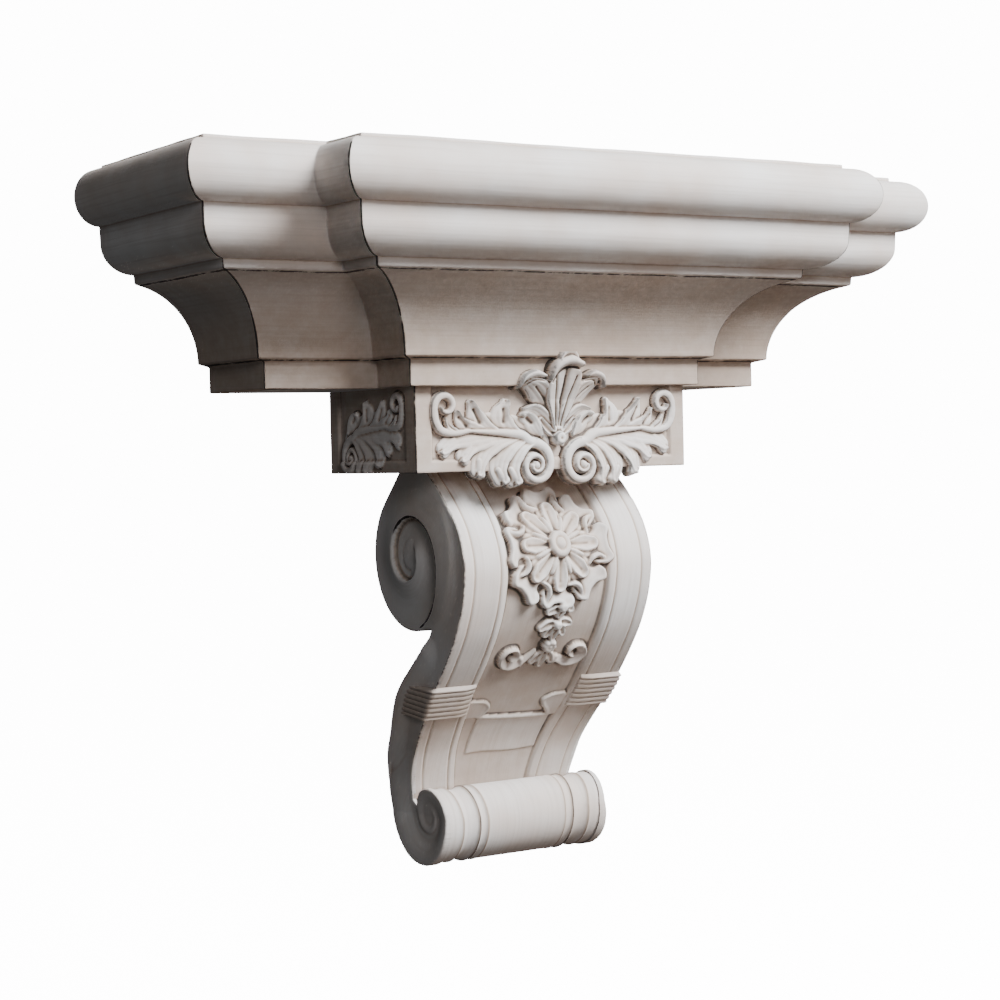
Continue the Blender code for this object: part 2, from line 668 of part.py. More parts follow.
def straps():
    """A reeded strap round each border, from the sunk panel over the front, side and back."""
    front = front_curve(400)
    back = back_curve(200)
    steps = [(0.0, 0.0), (0.0, 0.6)]
    for reed in range(STRAP_REEDS):
        steps += [((reed + share) / STRAP_REEDS, rise) for share, rise in ((0.22, 1.0), (0.78, 1.0), (1.0, 0.6))]
    steps.append((1.0, 0.0))
    shapes = []
    front_normals = offset_curve(front, 1.0) - front
    back_normals = back - offset_curve(back, 1.0)
    front_length = float(np.linalg.norm(np.diff(front, axis=0), axis=1).sum())
    first = (STRAP_DROP - STRAP_WIDTH / 2) / front_length * 400
    span = STRAP_WIDTH / front_length * 400
    for side in (-1, 1):
        rings = []
        for share, rise in steps:
            k = int(round(first + share * span))
            rear = int(round(200 * (STRAP_BACK_START + STRAP_BACK_SPAN * share)))
            reed_top = STRAP_PROUD - (1.0 - rise) / 0.4 * STRAP_REED_DEPTH
            proud = reed_top if rise > 0 else -OVERLAP / 4
            ahead = front[k] + front_normals[k] * proud
            behind = back[rear] + back_normals[rear] * proud
            x = half_width(front[k][1])
            inner = x - BORDER_WIDTH + BORDER_BEAD_WIDTH / 2
            soft = 0.35 * STRAP_PROUD
            lean = (behind - ahead) / np.linalg.norm(behind - ahead)
            ring = [
                (inner, ahead),
                (x + proud - soft, ahead),
                (x + proud, ahead + lean * soft),
                (x + proud, behind - lean * soft),
                (x + proud - soft, behind),
                (inner, behind),
            ]
            rings.append([(side * a, min(b, 0.0), c) for a, (b, c) in ring])
        shapes.append(loft(rings))
    return shapes


def cast_solid(obj):
    """Applies the object's modifiers and fills the small voids that the joined forms shut in."""
    graph = bpy.context.evaluated_depsgraph_get()
    mesh = bpy.data.meshes.new_from_object(obj.evaluated_get(graph))
    bm = bmesh.new()
    bm.from_mesh(mesh)
    waiting = set(bm.faces)
    voids = []
    while waiting:
        shell = {waiting.pop()}
        edge_of_shell = list(shell)
        while edge_of_shell:
            face = edge_of_shell.pop()
            for edge in face.edges:
                for other in edge.link_faces:
                    if other in waiting:
                        waiting.remove(other)
                        shell.add(other)
                        edge_of_shell.append(other)
        if shell_volume(shell) < 0:
            voids += shell
    bmesh.ops.delete(bm, geom=voids, context="FACES")
    bm.to_mesh(mesh)
    bm.free()
    mesh.shade_smooth()
    mesh.set_sharp_from_angle(angle=math.radians(32))
    obj.modifiers.clear()
    obj.data = mesh


def shell_volume(faces):
    volume = 0.0
    for face in faces:
        points = [vert.co for vert in face.verts]
        for k in range(1, len(points) - 1):
            volume += points[0].dot(points[k].cross(points[k + 1])) / 6
    return volume


def main():
    clear_scene()
    paint = painted_plaster()
    body = mesh_object("wall_bracket", [shelf()], paint)
    carved = bpy.data.collections.new("cast_with_the_shelf")
    bpy.context.scene.collection.children.link(carved)
    groups = [
        ("frieze_block", [frieze()]),
        ("console_scroll", [console()]),
        ("frieze_carving", frieze_carving()),
        ("side_carving", side_carving()),
        ("console_carving", console_carving()),
        ("ribbon", ribbon()),
        ("side_rims", side_rims()),
        ("straps", straps()),
    ]
    for name, shapes in groups:
        for k, shape in enumerate(shapes):
            piece = mesh_object(f"{name}_{k}", [shape], paint)
            piece.hide_render = True
            piece.display_type = "WIRE"
            bpy.context.scene.collection.objects.unlink(piece)
            carved.objects.link(piece)
    union = body.modifiers.new("cast_as_one", "BOOLEAN")
    union.operation = "UNION"
    union.solver = "MANIFOLD"
    union.operand_type = "COLLECTION"
    union.collection = carved
    cast_solid(body)
    for piece in list(carved.objects):
        bpy.data.objects.remove(piece, do_unlink=True)
    return body


main()
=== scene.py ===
import math

import bpy
import numpy as np
from mathutils import Matrix, Vector, noise


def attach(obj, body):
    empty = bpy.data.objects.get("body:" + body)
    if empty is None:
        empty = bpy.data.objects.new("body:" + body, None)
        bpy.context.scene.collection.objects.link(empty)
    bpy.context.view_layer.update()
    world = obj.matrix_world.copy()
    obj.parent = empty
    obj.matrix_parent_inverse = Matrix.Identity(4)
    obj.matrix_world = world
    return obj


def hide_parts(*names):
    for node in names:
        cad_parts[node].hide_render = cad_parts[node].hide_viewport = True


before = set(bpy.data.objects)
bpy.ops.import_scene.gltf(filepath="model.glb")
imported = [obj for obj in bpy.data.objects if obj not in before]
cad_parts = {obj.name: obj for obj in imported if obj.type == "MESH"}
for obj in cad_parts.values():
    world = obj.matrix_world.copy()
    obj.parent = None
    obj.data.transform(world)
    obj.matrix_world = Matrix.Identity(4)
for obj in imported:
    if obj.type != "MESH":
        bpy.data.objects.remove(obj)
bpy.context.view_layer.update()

# Sizes of the solid, in metres, as the part's source gives them
WING_HALF_WIDTH = 0.2095
WING_DEPTH = 0.0845
BREAK_HALF_WIDTH = 0.1227
BREAK_PROJECTION = 0.0442
FASCIA_HEIGHT = 0.0180
FASCIA_STEP = 0.0085
CAVETTO_FOOT_RISE = 0.0022
CAVETTO_RUN = 0.0403
CAVETTO_RISE = 0.0531
SOFFIT_RUN = 0.0056
SOFFIT_RISE = 0.0017
LOWER_FILLET_HEIGHT = 0.0060
OVOLO_RUN = 0.0236
OVOLO_RISE = 0.0205
UPPER_FILLET_HEIGHT = 0.0118
BULLNOSE_PROUD = 0.0174
BULLNOSE_HEIGHT = 0.0388
PLATE_SETBACK = 0.0030
PLATE_HEIGHT = 0.0032
PROFILE_TAPER = 0.0005
FRIEZE_HALF_WIDTH = 0.1146
FRIEZE_DEPTH = 0.1205
FRIEZE_HEIGHT = 0.0587
CONSOLE_HEIGHT = 0.2838
CONSOLE_DEPTH = 0.1232
CONSOLE_HALF_WIDTH = 0.0800
CONSOLE_FOOT_HALF_WIDTH = 0.0670
WAIST_DROP = 0.1620
VOLUTE_RADIUS = 0.0535
VOLUTE_DROP = 0.0600
SCROLL_RADIUS = 0.0467
SCROLL_SHRINK = 1.105
SCROLL_DROP = CONSOLE_HEIGHT - SCROLL_RADIUS * math.exp(-SCROLL_SHRINK / 4)
ROSETTE_DROP = 0.0705
STRAP_WIDTH = 0.0325
STRAP_DROP = 0.1975
STRAP_BACK_START = 0.320
STRAP_BACK_SPAN = 0.235
FRONT_SHARES = [
    (0.617, 0.000), (0.788, 0.066), (0.940, 0.147), (1.000, 0.230), (0.980, 0.304), (0.899, 0.392),
    (0.775, 0.472), (0.638, 0.545), (0.512, 0.612), (0.407, 0.664), (0.306, 0.723), (0.230, 0.798),
    (0.205, 0.840),
]
BACK_SHARES = [
    (0.543, 0.446), (0.408, 0.497), (0.307, 0.536), (0.200, 0.599), (0.110, 0.672), (0.040, 0.725),
    (0.006, 0.790),
]
NOTCH_SHARE = (0.631, 0.391)
SOFFIT_LINE = FASCIA_HEIGHT + CAVETTO_FOOT_RISE + CAVETTO_RISE + 0.4 * SOFFIT_RISE
MM = 0.001

# Depths of the sunk panels, in millimetres
FRIEZE_SINK = 2.2
CONSOLE_SINK = 4.6


# Curves


def smooth(points, count):
    """count + 1 points, evenly spaced along a smooth curve through the given ones."""
    points = np.array(points, float)
    knots = np.concatenate([[0.0], np.cumsum(np.linalg.norm(np.diff(points, axis=0), axis=1))])
    slopes = np.gradient(points, knots, axis=0)
    dense = []
    for k in range(len(points) - 1):
        length = knots[k + 1] - knots[k]
        for t in np.linspace(0.0, 1.0, 24, endpoint=k == len(points) - 2):
            dense.append(
                (2 * t**3 - 3 * t**2 + 1) * points[k]
                + (t**3 - 2 * t**2 + t) * length * slopes[k]
                + (3 * t**2 - 2 * t**3) * points[k + 1]
                + (t**3 - t**2) * length * slopes[k + 1]
            )
    dense = np.array(dense)
    run = np.concatenate([[0.0], np.cumsum(np.linalg.norm(np.diff(dense, axis=0), axis=1))])
    even = np.linspace(0.0, run[-1], count + 1)
    return np.stack([np.interp(even, run, dense[:, k]) for k in range(dense.shape[1])], axis=1)


def length_of(path):
    return float(np.linalg.norm(np.diff(path, axis=0), axis=1).sum())


def tangents(path):
    steps = np.gradient(path, axis=0)
    return steps / np.maximum(np.linalg.norm(steps, axis=1, keepdims=True), 1e-12)


def along(values, t):
    return np.interp(t, np.linspace(0.0, 1.0, len(values)), values)


def corner_bend(start, corner, end, t):
    """The point at share t of the small curve that replaces a corner."""
    return (1 - t) ** 2 * start + 2 * t * (1 - t) * corner + t**2 * end


def rounded(points, radius, count=4, least=18.0):
    """The polyline with each corner over least degrees replaced by a small arc."""
    points = [np.array(p, float) for p in points]
    out = [points[0]]
    for before, here, after in zip(points, points[1:], points[2:]):
        back, ahead = before - here, after - here
        reach = min(radius, 0.45 * np.linalg.norm(back), 0.45 * np.linalg.norm(ahead))
        back, ahead = back / np.linalg.norm(back), ahead / np.linalg.norm(ahead)
        if np.degrees(np.arccos(np.clip(-back @ ahead, -1, 1))) < least:
            out.append(here)
            continue
        start, end = here + back * reach, here + ahead * reach
        out += [corner_bend(start, here, end, t) for t in np.linspace(0.0, 1.0, count + 1)]
    return np.array(out + [points[-1]])


def filled(points, gap):
    """The polyline with points added on it, about gap apart."""
    out = [points[0]]
    for a, b in zip(points, points[1:]):
        parts = max(1, int(np.linalg.norm(b - a) / gap))
        out += [a + (b - a) * k / parts for k in range(1, parts + 1)]
    return np.array(out)


# Fields and meshes


def smoothstep(low, high, value):
    t = np.clip((value - low) / (high - low), 0.0, 1.0)
    return t * t * (3 - 2 * t)


def bell(value, width):
    return np.exp(-((value / width) ** 2))


def blurred(field, sigma):
    """The grid softened with a bell of sigma cells."""
    reach = max(1, int(3 * sigma))
    weights = np.exp(-0.5 * (np.arange(-reach, reach + 1) / sigma) ** 2)
    weights /= weights.sum()
    for axis in (0, 1):
        pad = [(0, 0), (0, 0)]
        pad[axis] = (reach, reach)
        wide = np.pad(field, pad, mode="edge")
        size = field.shape[axis]
        field = sum(
            w * (wide[k : k + size] if axis == 0 else wide[:, k : k + size]) for k, w in enumerate(weights)
        )
    return field


def finish_piece(name, verts, faces, material, glaze_and_shade, rub_and_shade, flat_angle=None):
    """One mesh piece that stands for the solid, with its values of glazing and painted shade, and of rubbed
    wear and painted shade lines, kept per point.
    """
    verts = np.asarray(verts, np.float32)
    faces = np.asarray(faces, np.int32)
    mesh = bpy.data.meshes.new(name)
    mesh.vertices.add(len(verts))
    mesh.vertices.foreach_set("co", verts.ravel())
    mesh.loops.add(faces.size)
    mesh.loops.foreach_set("vertex_index", faces.ravel())
    mesh.polygons.add(len(faces))
    mesh.polygons.foreach_set("loop_start", np.arange(0, faces.size, 4, dtype=np.int32))
    mesh.polygons.foreach_set("loop_total", np.full(len(faces), 4, np.int32))
    mesh.update(calc_edges=True)
    mesh.validate()
    mesh.shade_smooth()
    if flat_angle:
        mesh.set_sharp_from_angle(angle=math.radians(flat_angle))
    for key, values in (("glaze_and_shade", glaze_and_shade), ("rub_and_shade", rub_and_shade)):
        layer = mesh.attributes.new(key, "FLOAT", "POINT")
        layer.data.foreach_set("value", np.clip(np.asarray(values, np.float32).ravel(), 0.0, 1.0))
    mesh.materials.append(material)
    obj = bpy.data.objects.new(name, mesh)
    bpy.context.scene.collection.objects.link(obj)
    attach(obj, "root")
    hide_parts("wall_bracket")


def grid_faces(rows, cols, flip=False):
    r, c = np.meshgrid(np.arange(rows - 1), np.arange(cols - 1), indexing="ij")
    corner = r * cols + c
    quads = np.stack([corner, corner + 1, corner + cols + 1, corner + cols], axis=-1).reshape(-1, 4)
    return quads[:, ::-1] if flip else quads


def finish_grid(name, points, material, glaze_and_shade, rub_and_shade, flip=False):
    finish_piece(name, points.reshape(-1, 3), grid_faces(*points.shape[:2], flip=flip), material, glaze_and_shade, rub_and_shade)


def uneven(points, size, reach, seed=0.0):
    """Small smooth unevenness, one number per point: size is its scale and reach its height, in metres."""
    flat = points.reshape(-1, 3)
    shift = Vector((seed, 2.3 * seed, -1.7 * seed))
    values = [noise.noise(Vector(p) / size + shift) for p in flat.tolist()]
    return reach * np.array(values).reshape(points.shape[:-1])


def grid_normals(points):
    du = np.gradient(points, axis=0)
    dv = np.gradient(points, axis=1)
    normal = np.cross(du, dv)
    return normal / np.maximum(np.linalg.norm(normal, axis=-1, keepdims=True), 1e-12)


# Relief: a grid of heights in millimetres, into which leaves and bands are laid


def section(kind, r, side):
    """The height across a leaf, from r = 0 on its spine to 1 at its edge. side is r with its sign."""
    edge = np.clip((1 - r) / 0.24, 0, 1)
    edge = np.sqrt(edge * (2 - edge))
    if kind == "round":
        return edge * (1 - 0.30 * r**2)
    if kind == "spoon":
        return edge * (0.55 + 0.45 * np.clip(r, 0, 1) ** 2)
    if kind == "vein":
        return edge * (1 - 0.34 * bell(r, 0.17) - 0.12 * r**2)
    if kind in ("fold", "turn"):
        tilt = 0.30 if kind == "fold" else -0.30
        return edge * (0.70 + tilt * np.sin(1.45 * np.clip(side, -1, 1)))
    if kind == "petal":
        return edge * (0.72 + 0.28 * np.clip(r, 0, 1) ** 1.5 - 0.22 * bell(r, 0.14))
    return edge


class Relief:
    def __init__(self, u, v):
        self.u = u
        self.v = v
        self.height = np.zeros((len(v), len(u)))

    def window(self, low, high):
        a, b = np.searchsorted(self.u, [low[0], high[0]])
        c, d = np.searchsorted(self.v, [low[1], high[1]])
        return slice(c, d), slice(a, b)

    def near(self, path, reach):
        """The grid window round a path, with the signed distance to it and the share along it."""
        window = self.window(path.min(axis=0) - reach, path.max(axis=0) + reach)
        uu, vv = np.meshgrid(self.u[window[1]], self.v[window[0]])
        if uu.size == 0:
            return window, None, None, None
        way = tangents(path)
        best = np.full(uu.shape, 1e9)
        index = np.zeros(uu.shape, int)
        for k, (pu, pv) in enumerate(path):
            gap = (uu - pu) ** 2 + (vv - pv) ** 2
            closer = gap < best
            best[closer] = gap[closer]
            index[closer] = k
        side = way[index, 0] * (vv - path[index, 1]) - way[index, 1] * (uu - path[index, 0])
        return window, np.sqrt(best), np.sign(side) * np.sqrt(best), index / (len(path) - 1)

    def leaf(self, spine, widths, heights, kind="round", veins=0.0):
        """A leaf or band along a spine. It is laid over what is there, and the higher of the two shows."""
        path = smooth(spine, max(8, int(length_of(np.array(spine, float)) / 0.28)))
        window, gap, side, t = self.near(path, max(widths) * 1.1)
        if gap is None:
            return
        wide = along(widths, t)
        r = gap / wide
        shape = section(kind, np.minimum(r, 1.0), side / wide)
        shape = shape * (1 - veins * (0.5 + 0.5 * np.cos(math.tau * 2.5 * r)))
        height = np.where(r < 1, along(heights, t) * shape, 0.0)
        self.height[window] = np.maximum(self.height[window], height)

    def press(self, spine, widths, depth):
        """A groove pressed in along a path."""
        path = smooth(spine, max(6, int(length_of(np.array(spine, float)) / 0.45)))
        window, gap, _, t = self.near(path, max(widths) * 3)
        if gap is None:
            return
        self.height[window] -= depth * bell(gap, along(widths, t))

    def dome(self, centre, radius, height, base=0.0, hole=0.0):
        low = (centre[0] - radius, centre[1] - radius)
        high = (centre[0] + radius, centre[1] + radius)
        window = self.window(low, high)
        uu, vv = np.meshgrid(self.u[window[1]], self.v[window[0]])
        r = np.hypot(uu - centre[0], vv - centre[1]) / radius
        shape = np.sqrt(np.clip(1 - r**2, 0, 1)) - hole * bell(r, 0.35)
        rise = np.where(r < 1, base + height * shape, 0.0)
        self.height[window] = np.maximum(self.height[window], rise)


def cavity(height, step, size, scale):
    """How deep each point lies under its surroundings, from 0 to 1. step and size are in millimetres."""
    return np.clip((blurred(height, size / step) - height) / scale, 0, 1)


def hollows(height, step, *layers):
    """The strongest of several cavity measures. Each layer is (strength, size, scale)."""
    return np.maximum.reduce([share * cavity(height, step, size, scale) for share, size, scale in layers])


def crest(height, step, size, scale):
    """How far each point stands over its surroundings, from 0 to 1."""
    return np.clip((height - blurred(height, size / step)) / scale, 0, 1)


# Materials


def node(tree, kind, **inputs):
    made = tree.nodes.new(kind)
    for key, value in inputs.items():
        made.inputs[key.replace("_", " ")].default_value = value
    return made


def aged_and_shaded_paint(name, streak_scale):
    """Chalky off-white paint: brush streaks, dark glazing left in the hollows together with painted shade in
    hollows and under overhangs, arrises rubbed dark, and a few thin lines of painted shade in the same dark
    colour.
    """
    material = bpy.data.materials.new(name)
    material.use_nodes = True
    tree = material.node_tree
    links = tree.links
    shader = tree.nodes["Principled BSDF"]
    shader.inputs["Metallic"].default_value = 0.0
    shader.inputs["Specular IOR Level"].default_value = 0.35
    place = node(tree, "ShaderNodeTexCoord")

    def noise_at(scale, size, detail=3.0, rough=0.55):
        mapping = node(tree, "ShaderNodeMapping", Scale=scale)
        links.new(place.outputs["Object"], mapping.inputs["Vector"])
        made = node(tree, "ShaderNodeTexNoise", Scale=size, Detail=detail, Roughness=rough)
        links.new(mapping.outputs["Vector"], made.inputs["Vector"])
        return made.outputs["Fac"]

    def ramp(source, low, high, darkest=0.0, lightest=1.0):
        """The source spread over greys, from darkest at low to lightest at high."""
        made = node(tree, "ShaderNodeValToRGB")
        for k, (where, grey) in enumerate(((low, darkest), (high, lightest))):
            made.color_ramp.elements[k].position = where
            made.color_ramp.elements[k].color = (grey, grey, grey, 1)
        links.new(source, made.inputs["Fac"])
        return made.outputs["Color"]

    def math_node(operation, a, b):
        made = tree.nodes.new("ShaderNodeMath")
        made.operation = operation
        made.use_clamp = operation != "ADD"
        for k, value in enumerate((a, b)):
            if isinstance(value, float):
                made.inputs[k].default_value = value
            else:
                links.new(value, made.inputs[k])
        return made.outputs[0]

    def mix(share, a, b):
        made = tree.nodes.new("ShaderNodeMix")
        made.data_type = "RGBA"
        for value, index in ((share, 0), (a, 6), (b, 7)):
            if isinstance(value, (tuple, float)):
                made.inputs[index].default_value = value
            else:
                links.new(value, made.inputs[index])
        return made.outputs[2]

    def attribute(key):
        made = tree.nodes.new("ShaderNodeAttribute")
        made.attribute_name = key
        return made.outputs["Fac"]

    white = (0.81, 0.785, 0.765, 1)
    warm = (0.71, 0.62, 0.56, 1)
    soft_glaze_and_shade = (0.46, 0.350, 0.270, 1)
    dark_glaze_and_shade = (0.085, 0.07, 0.06, 1)
    streak_tint = (0.50, 0.44, 0.40, 1)
    bare_and_shade = (0.030, 0.025, 0.022, 1)
    streaks = noise_at(streak_scale, 1.0, 4.0, 0.6)
    broad = noise_at((1, 1, 1), 14.0, 3.0)
    speck = noise_at((1, 1, 1), 420.0, 2.0)
    patches = noise_at((1, 1, 1), 75.0, 4.0, 0.65)
    colour = mix(ramp(broad, 0.34, 0.66), white, warm)
    colour = mix(math_node("MULTIPLY", ramp(streaks, 0.48, 0.80), 0.42), colour, streak_tint)
    # The hollow values darken towards a soft warm brown, then near black: glazing in the hollows, and painted
    # shade.
    hollow = math_node("MULTIPLY", attribute("glaze_and_shade"), ramp(patches, 0.25, 0.62, 0.72))
    colour = mix(math_node("MULTIPLY", ramp(hollow, 0.02, 0.42), 0.8), colour, soft_glaze_and_shade)
    colour = mix(ramp(hollow, 0.42, 0.95), colour, dark_glaze_and_shade)
    # The rub values darken to near black: rubbed arrises, and thin lines of painted shade.
    wear_and_shade = math_node("MULTIPLY", attribute("rub_and_shade"), ramp(patches, 0.30, 0.52, 0.35))
    colour = mix(ramp(wear_and_shade, 0.30, 0.52), colour, bare_and_shade)
    links.new(colour, shader.inputs["Base Color"])

    def grain(streak_share, speck_share):
        streaky = math_node("MULTIPLY", streaks, streak_share)
        return math_node("ADD", streaky, math_node("MULTIPLY", speck, speck_share))

    links.new(ramp(grain(0.6, 0.4), 0.2, 0.8, 0.58, 0.82), shader.inputs["Roughness"])
    bump = node(tree, "ShaderNodeBump", Strength=0.22, Distance=0.0006)
    links.new(grain(0.8, 0.25), bump.inputs["Height"])
    links.new(bump.outputs["Normal"], shader.inputs["Normal"])
    return material


SHELF_PAINT = aged_and_shaded_paint("shelf_paint", (9.0, 9.0, 520.0))
FRIEZE_PAINT = aged_and_shaded_paint("frieze_paint", (14.0, 14.0, 380.0))
CONSOLE_PAINT = aged_and_shaded_paint("console_paint", (420.0, 12.0, 12.0))


# Shelf


def arc(centre, radii, start, end, count):
    angles = np.radians(np.linspace(start, end, count + 1))
    return [(centre[0] + radii[0] * math.cos(a), centre[1] + radii[1] * math.sin(a)) for a in angles]


def shelf_profile():
    """(offset, height) up the moulding, from the underside to the top, with softened edges."""
    foot = (FASCIA_STEP, FASCIA_HEIGHT + CAVETTO_FOOT_RISE)
    radius = (CAVETTO_RUN**2 + CAVETTO_RISE**2) / (2 * CAVETTO_RUN)
    sweep = math.degrees(math.asin(CAVETTO_RISE / radius))
    if CAVETTO_RUN > radius:
        sweep = 180 - sweep
    cavetto = arc((foot[0] + radius, foot[1]), (radius, radius), 180, 180 - sweep, 30)
    soffit = (cavetto[-1][0] + SOFFIT_RUN, cavetto[-1][1] + SOFFIT_RISE)
    fillet = (soffit[0] + PROFILE_TAPER, soffit[1] + LOWER_FILLET_HEIGHT)
    ovolo = arc((fillet[0], fillet[1] + OVOLO_RISE), (OVOLO_RUN, OVOLO_RISE), -90, 0, 22)
    band = (ovolo[-1][0] + PROFILE_TAPER, ovolo[-1][1] + UPPER_FILLET_HEIGHT)
    middle = (band[0], band[1] + BULLNOSE_HEIGHT / 2)
    bullnose = arc(middle, (BULLNOSE_PROUD, BULLNOSE_HEIGHT / 2), -90, 90, 36)
    plate = (band[0] - PLATE_SETBACK, band[1] + BULLNOSE_HEIGHT)
    top = (plate[0], plate[1] + PLATE_HEIGHT)
    line = [(-0.012, 0.0), (0.0, 0.0), (0.0, FASCIA_HEIGHT)] + cavetto + [soffit, fillet] + ovolo[1:]
    line += bullnose + [plate, top, (top[0] - 0.02, top[1])]
    return filled(rounded(line, 0.0011), 0.0022)


def shelf_plan(offset, per_metre=330):
    """The outline at one offset, from the wall round to the wall, with small worn radii at its corners.
    Returns the points and each one's distance to the nearest outer corner."""
    wing = WING_HALF_WIDTH + offset
    centre = BREAK_HALF_WIDTH + offset
    wing_front = -(WING_DEPTH + offset)
    centre_front = wing_front - BREAK_PROJECTION
    half = [(wing, 0.0), (wing, wing_front), (centre, wing_front), (centre, centre_front)]
    corners = np.array(half + [(-x, y) for x, y in reversed(half)])
    base = [(WING_HALF_WIDTH, 0.0), (WING_HALF_WIDTH, -WING_DEPTH), (BREAK_HALF_WIDTH, -WING_DEPTH)]
    base += [(BREAK_HALF_WIDTH, -WING_DEPTH - BREAK_PROJECTION)]
    base = np.array(base + [(-x, y) for x, y in reversed(base)])
    points = []
    marks = []
    runs = len(corners) - 1
    radius = 0.0010
    outer = (1, 3, 4, 6)
    for k in range(runs):
        a, b = corners[k], corners[k + 1]
        span = np.linalg.norm(b - a)
        count = max(6, int(np.linalg.norm(base[k + 1] - base[k]) * per_metre))
        start = 0.0 if k == 0 else radius / span
        end = 1.0 if k == runs - 1 else 1 - radius / span
        bias = 0.5 - 0.5 * np.cos(np.linspace(0, math.pi, count + 1))
        bias = 0.55 * bias + 0.45 * np.linspace(0, 1, count + 1)
        for t in start + (end - start) * bias:
            points.append(a + (b - a) * t)
            near = [c for c in (k, k + 1) if c in outer]
            marks.append(min([np.linalg.norm(points[-1] - corners[c]) for c in near] or [1.0]))
        if k < runs - 1:
            after = (corners[k + 2] - b) / np.linalg.norm(corners[k + 2] - b)
            before = (a - b) / span
            for t in (0.25, 0.5, 0.75):
                points.append(corner_bend(b + before * radius, b, b + after * radius, t))
                marks.append(0.0 if k + 1 in outer else 1.0)
    return np.array(points), np.array(marks)


def shelf():
    """All the shelf's mouldings as one grid, slightly uneven, with worn corners, and a cavetto and fascia
    painted darker with a warm tint and painted shade under the overhang.
    """
    profile = shelf_profile()
    way = tangents(profile)
    turn = np.zeros((len(profile), 1))
    turn[1:-1, 0] = way[:-2, 0] * way[2:, 1] - way[:-2, 1] * way[2:, 0]
    plans = [shelf_plan(offset) for offset in profile[:, 0]]
    marks = np.array([mark for _, mark in plans])
    height = profile[:, 1][:, None]
    points = np.concatenate([[plan for plan, _ in plans], (height * np.ones_like(marks))[..., None]], axis=-1)
    normals = grid_normals(points)
    lift = uneven(points, 0.035, 0.00045, 1.0) + uneven(points, 0.009, 0.00012, 4.0)
    lift = np.where(points[..., 1] > -0.003, 0.0, lift)
    outward = 1.0 if normals[len(profile) // 2, 5, 0] > 0 else -1.0
    points = points + normals * (outward * lift)[..., None]
    corner_wear = 0.85 * bell(marks, 0.0010) * smoothstep(0.1500, 0.1440, height)
    # Thin dark lines under the soffit and under the cavetto's foot, where these small steps overhang: glazing
    # and painted shade.
    soffit_line = 0.62 * bell(height - SOFFIT_LINE, 0.0006)
    foot_line = 0.66 * bell(height - FASCIA_HEIGHT - 0.0010, 0.0006)
    rub_and_shade = np.maximum.reduce([0.16 * np.clip(turn * 2.2, 0, 1), soffit_line, foot_line]) * np.ones_like(marks)
    # Below the soffit line the cavetto and fascia are painted darker, most at the bottom: a warm tint and
    # painted shade under the overhang.
    below = smoothstep(SOFFIT_LINE + 0.006, SOFFIT_LINE - 0.004, height)
    tint_and_shade = (0.45 - 0.20 * smoothstep(0.020, SOFFIT_LINE, height)) * below
    # The concave turns of the profile are painted dark: painted shade in the creases.
    glaze_and_shade = np.maximum(0.35 * np.clip(-turn * 2.2, 0, 1), tint_and_shade) * np.ones_like(marks)
    finish_grid("shelf_mouldings", points, SHELF_PAINT, glaze_and_shade, np.maximum(rub_and_shade, corner_wear))


def shelf_core():
    """The flat top, the flat underside and the back of the shelf, just inside its mouldings."""
    profile = shelf_profile()
    sheets = []
    for offset, z in (profile[0], profile[-1]):
        plan, _ = shelf_plan(offset, 120)
        ring = np.column_stack([plan, np.full(len(plan), z)])
        half = len(ring) // 2
        sheets.append(np.linspace(ring[:half], ring[::-1][:half], 60))
    half_widths = WING_HALF_WIDTH + profile[:, 0]
    left = np.stack([-half_widths, np.zeros(len(profile)), profile[:, 1]], axis=1)
    sheets.append(np.linspace(left, left * (-1, 1, 1), 24))
    for name, sheet in zip(("shelf_underside", "shelf_top", "shelf_back"), sheets):
        still = np.zeros(sheet.shape[:2])
        finish_grid(name, sheet, SHELF_PAINT, still, still, flip=name == "shelf_top")


# Frieze


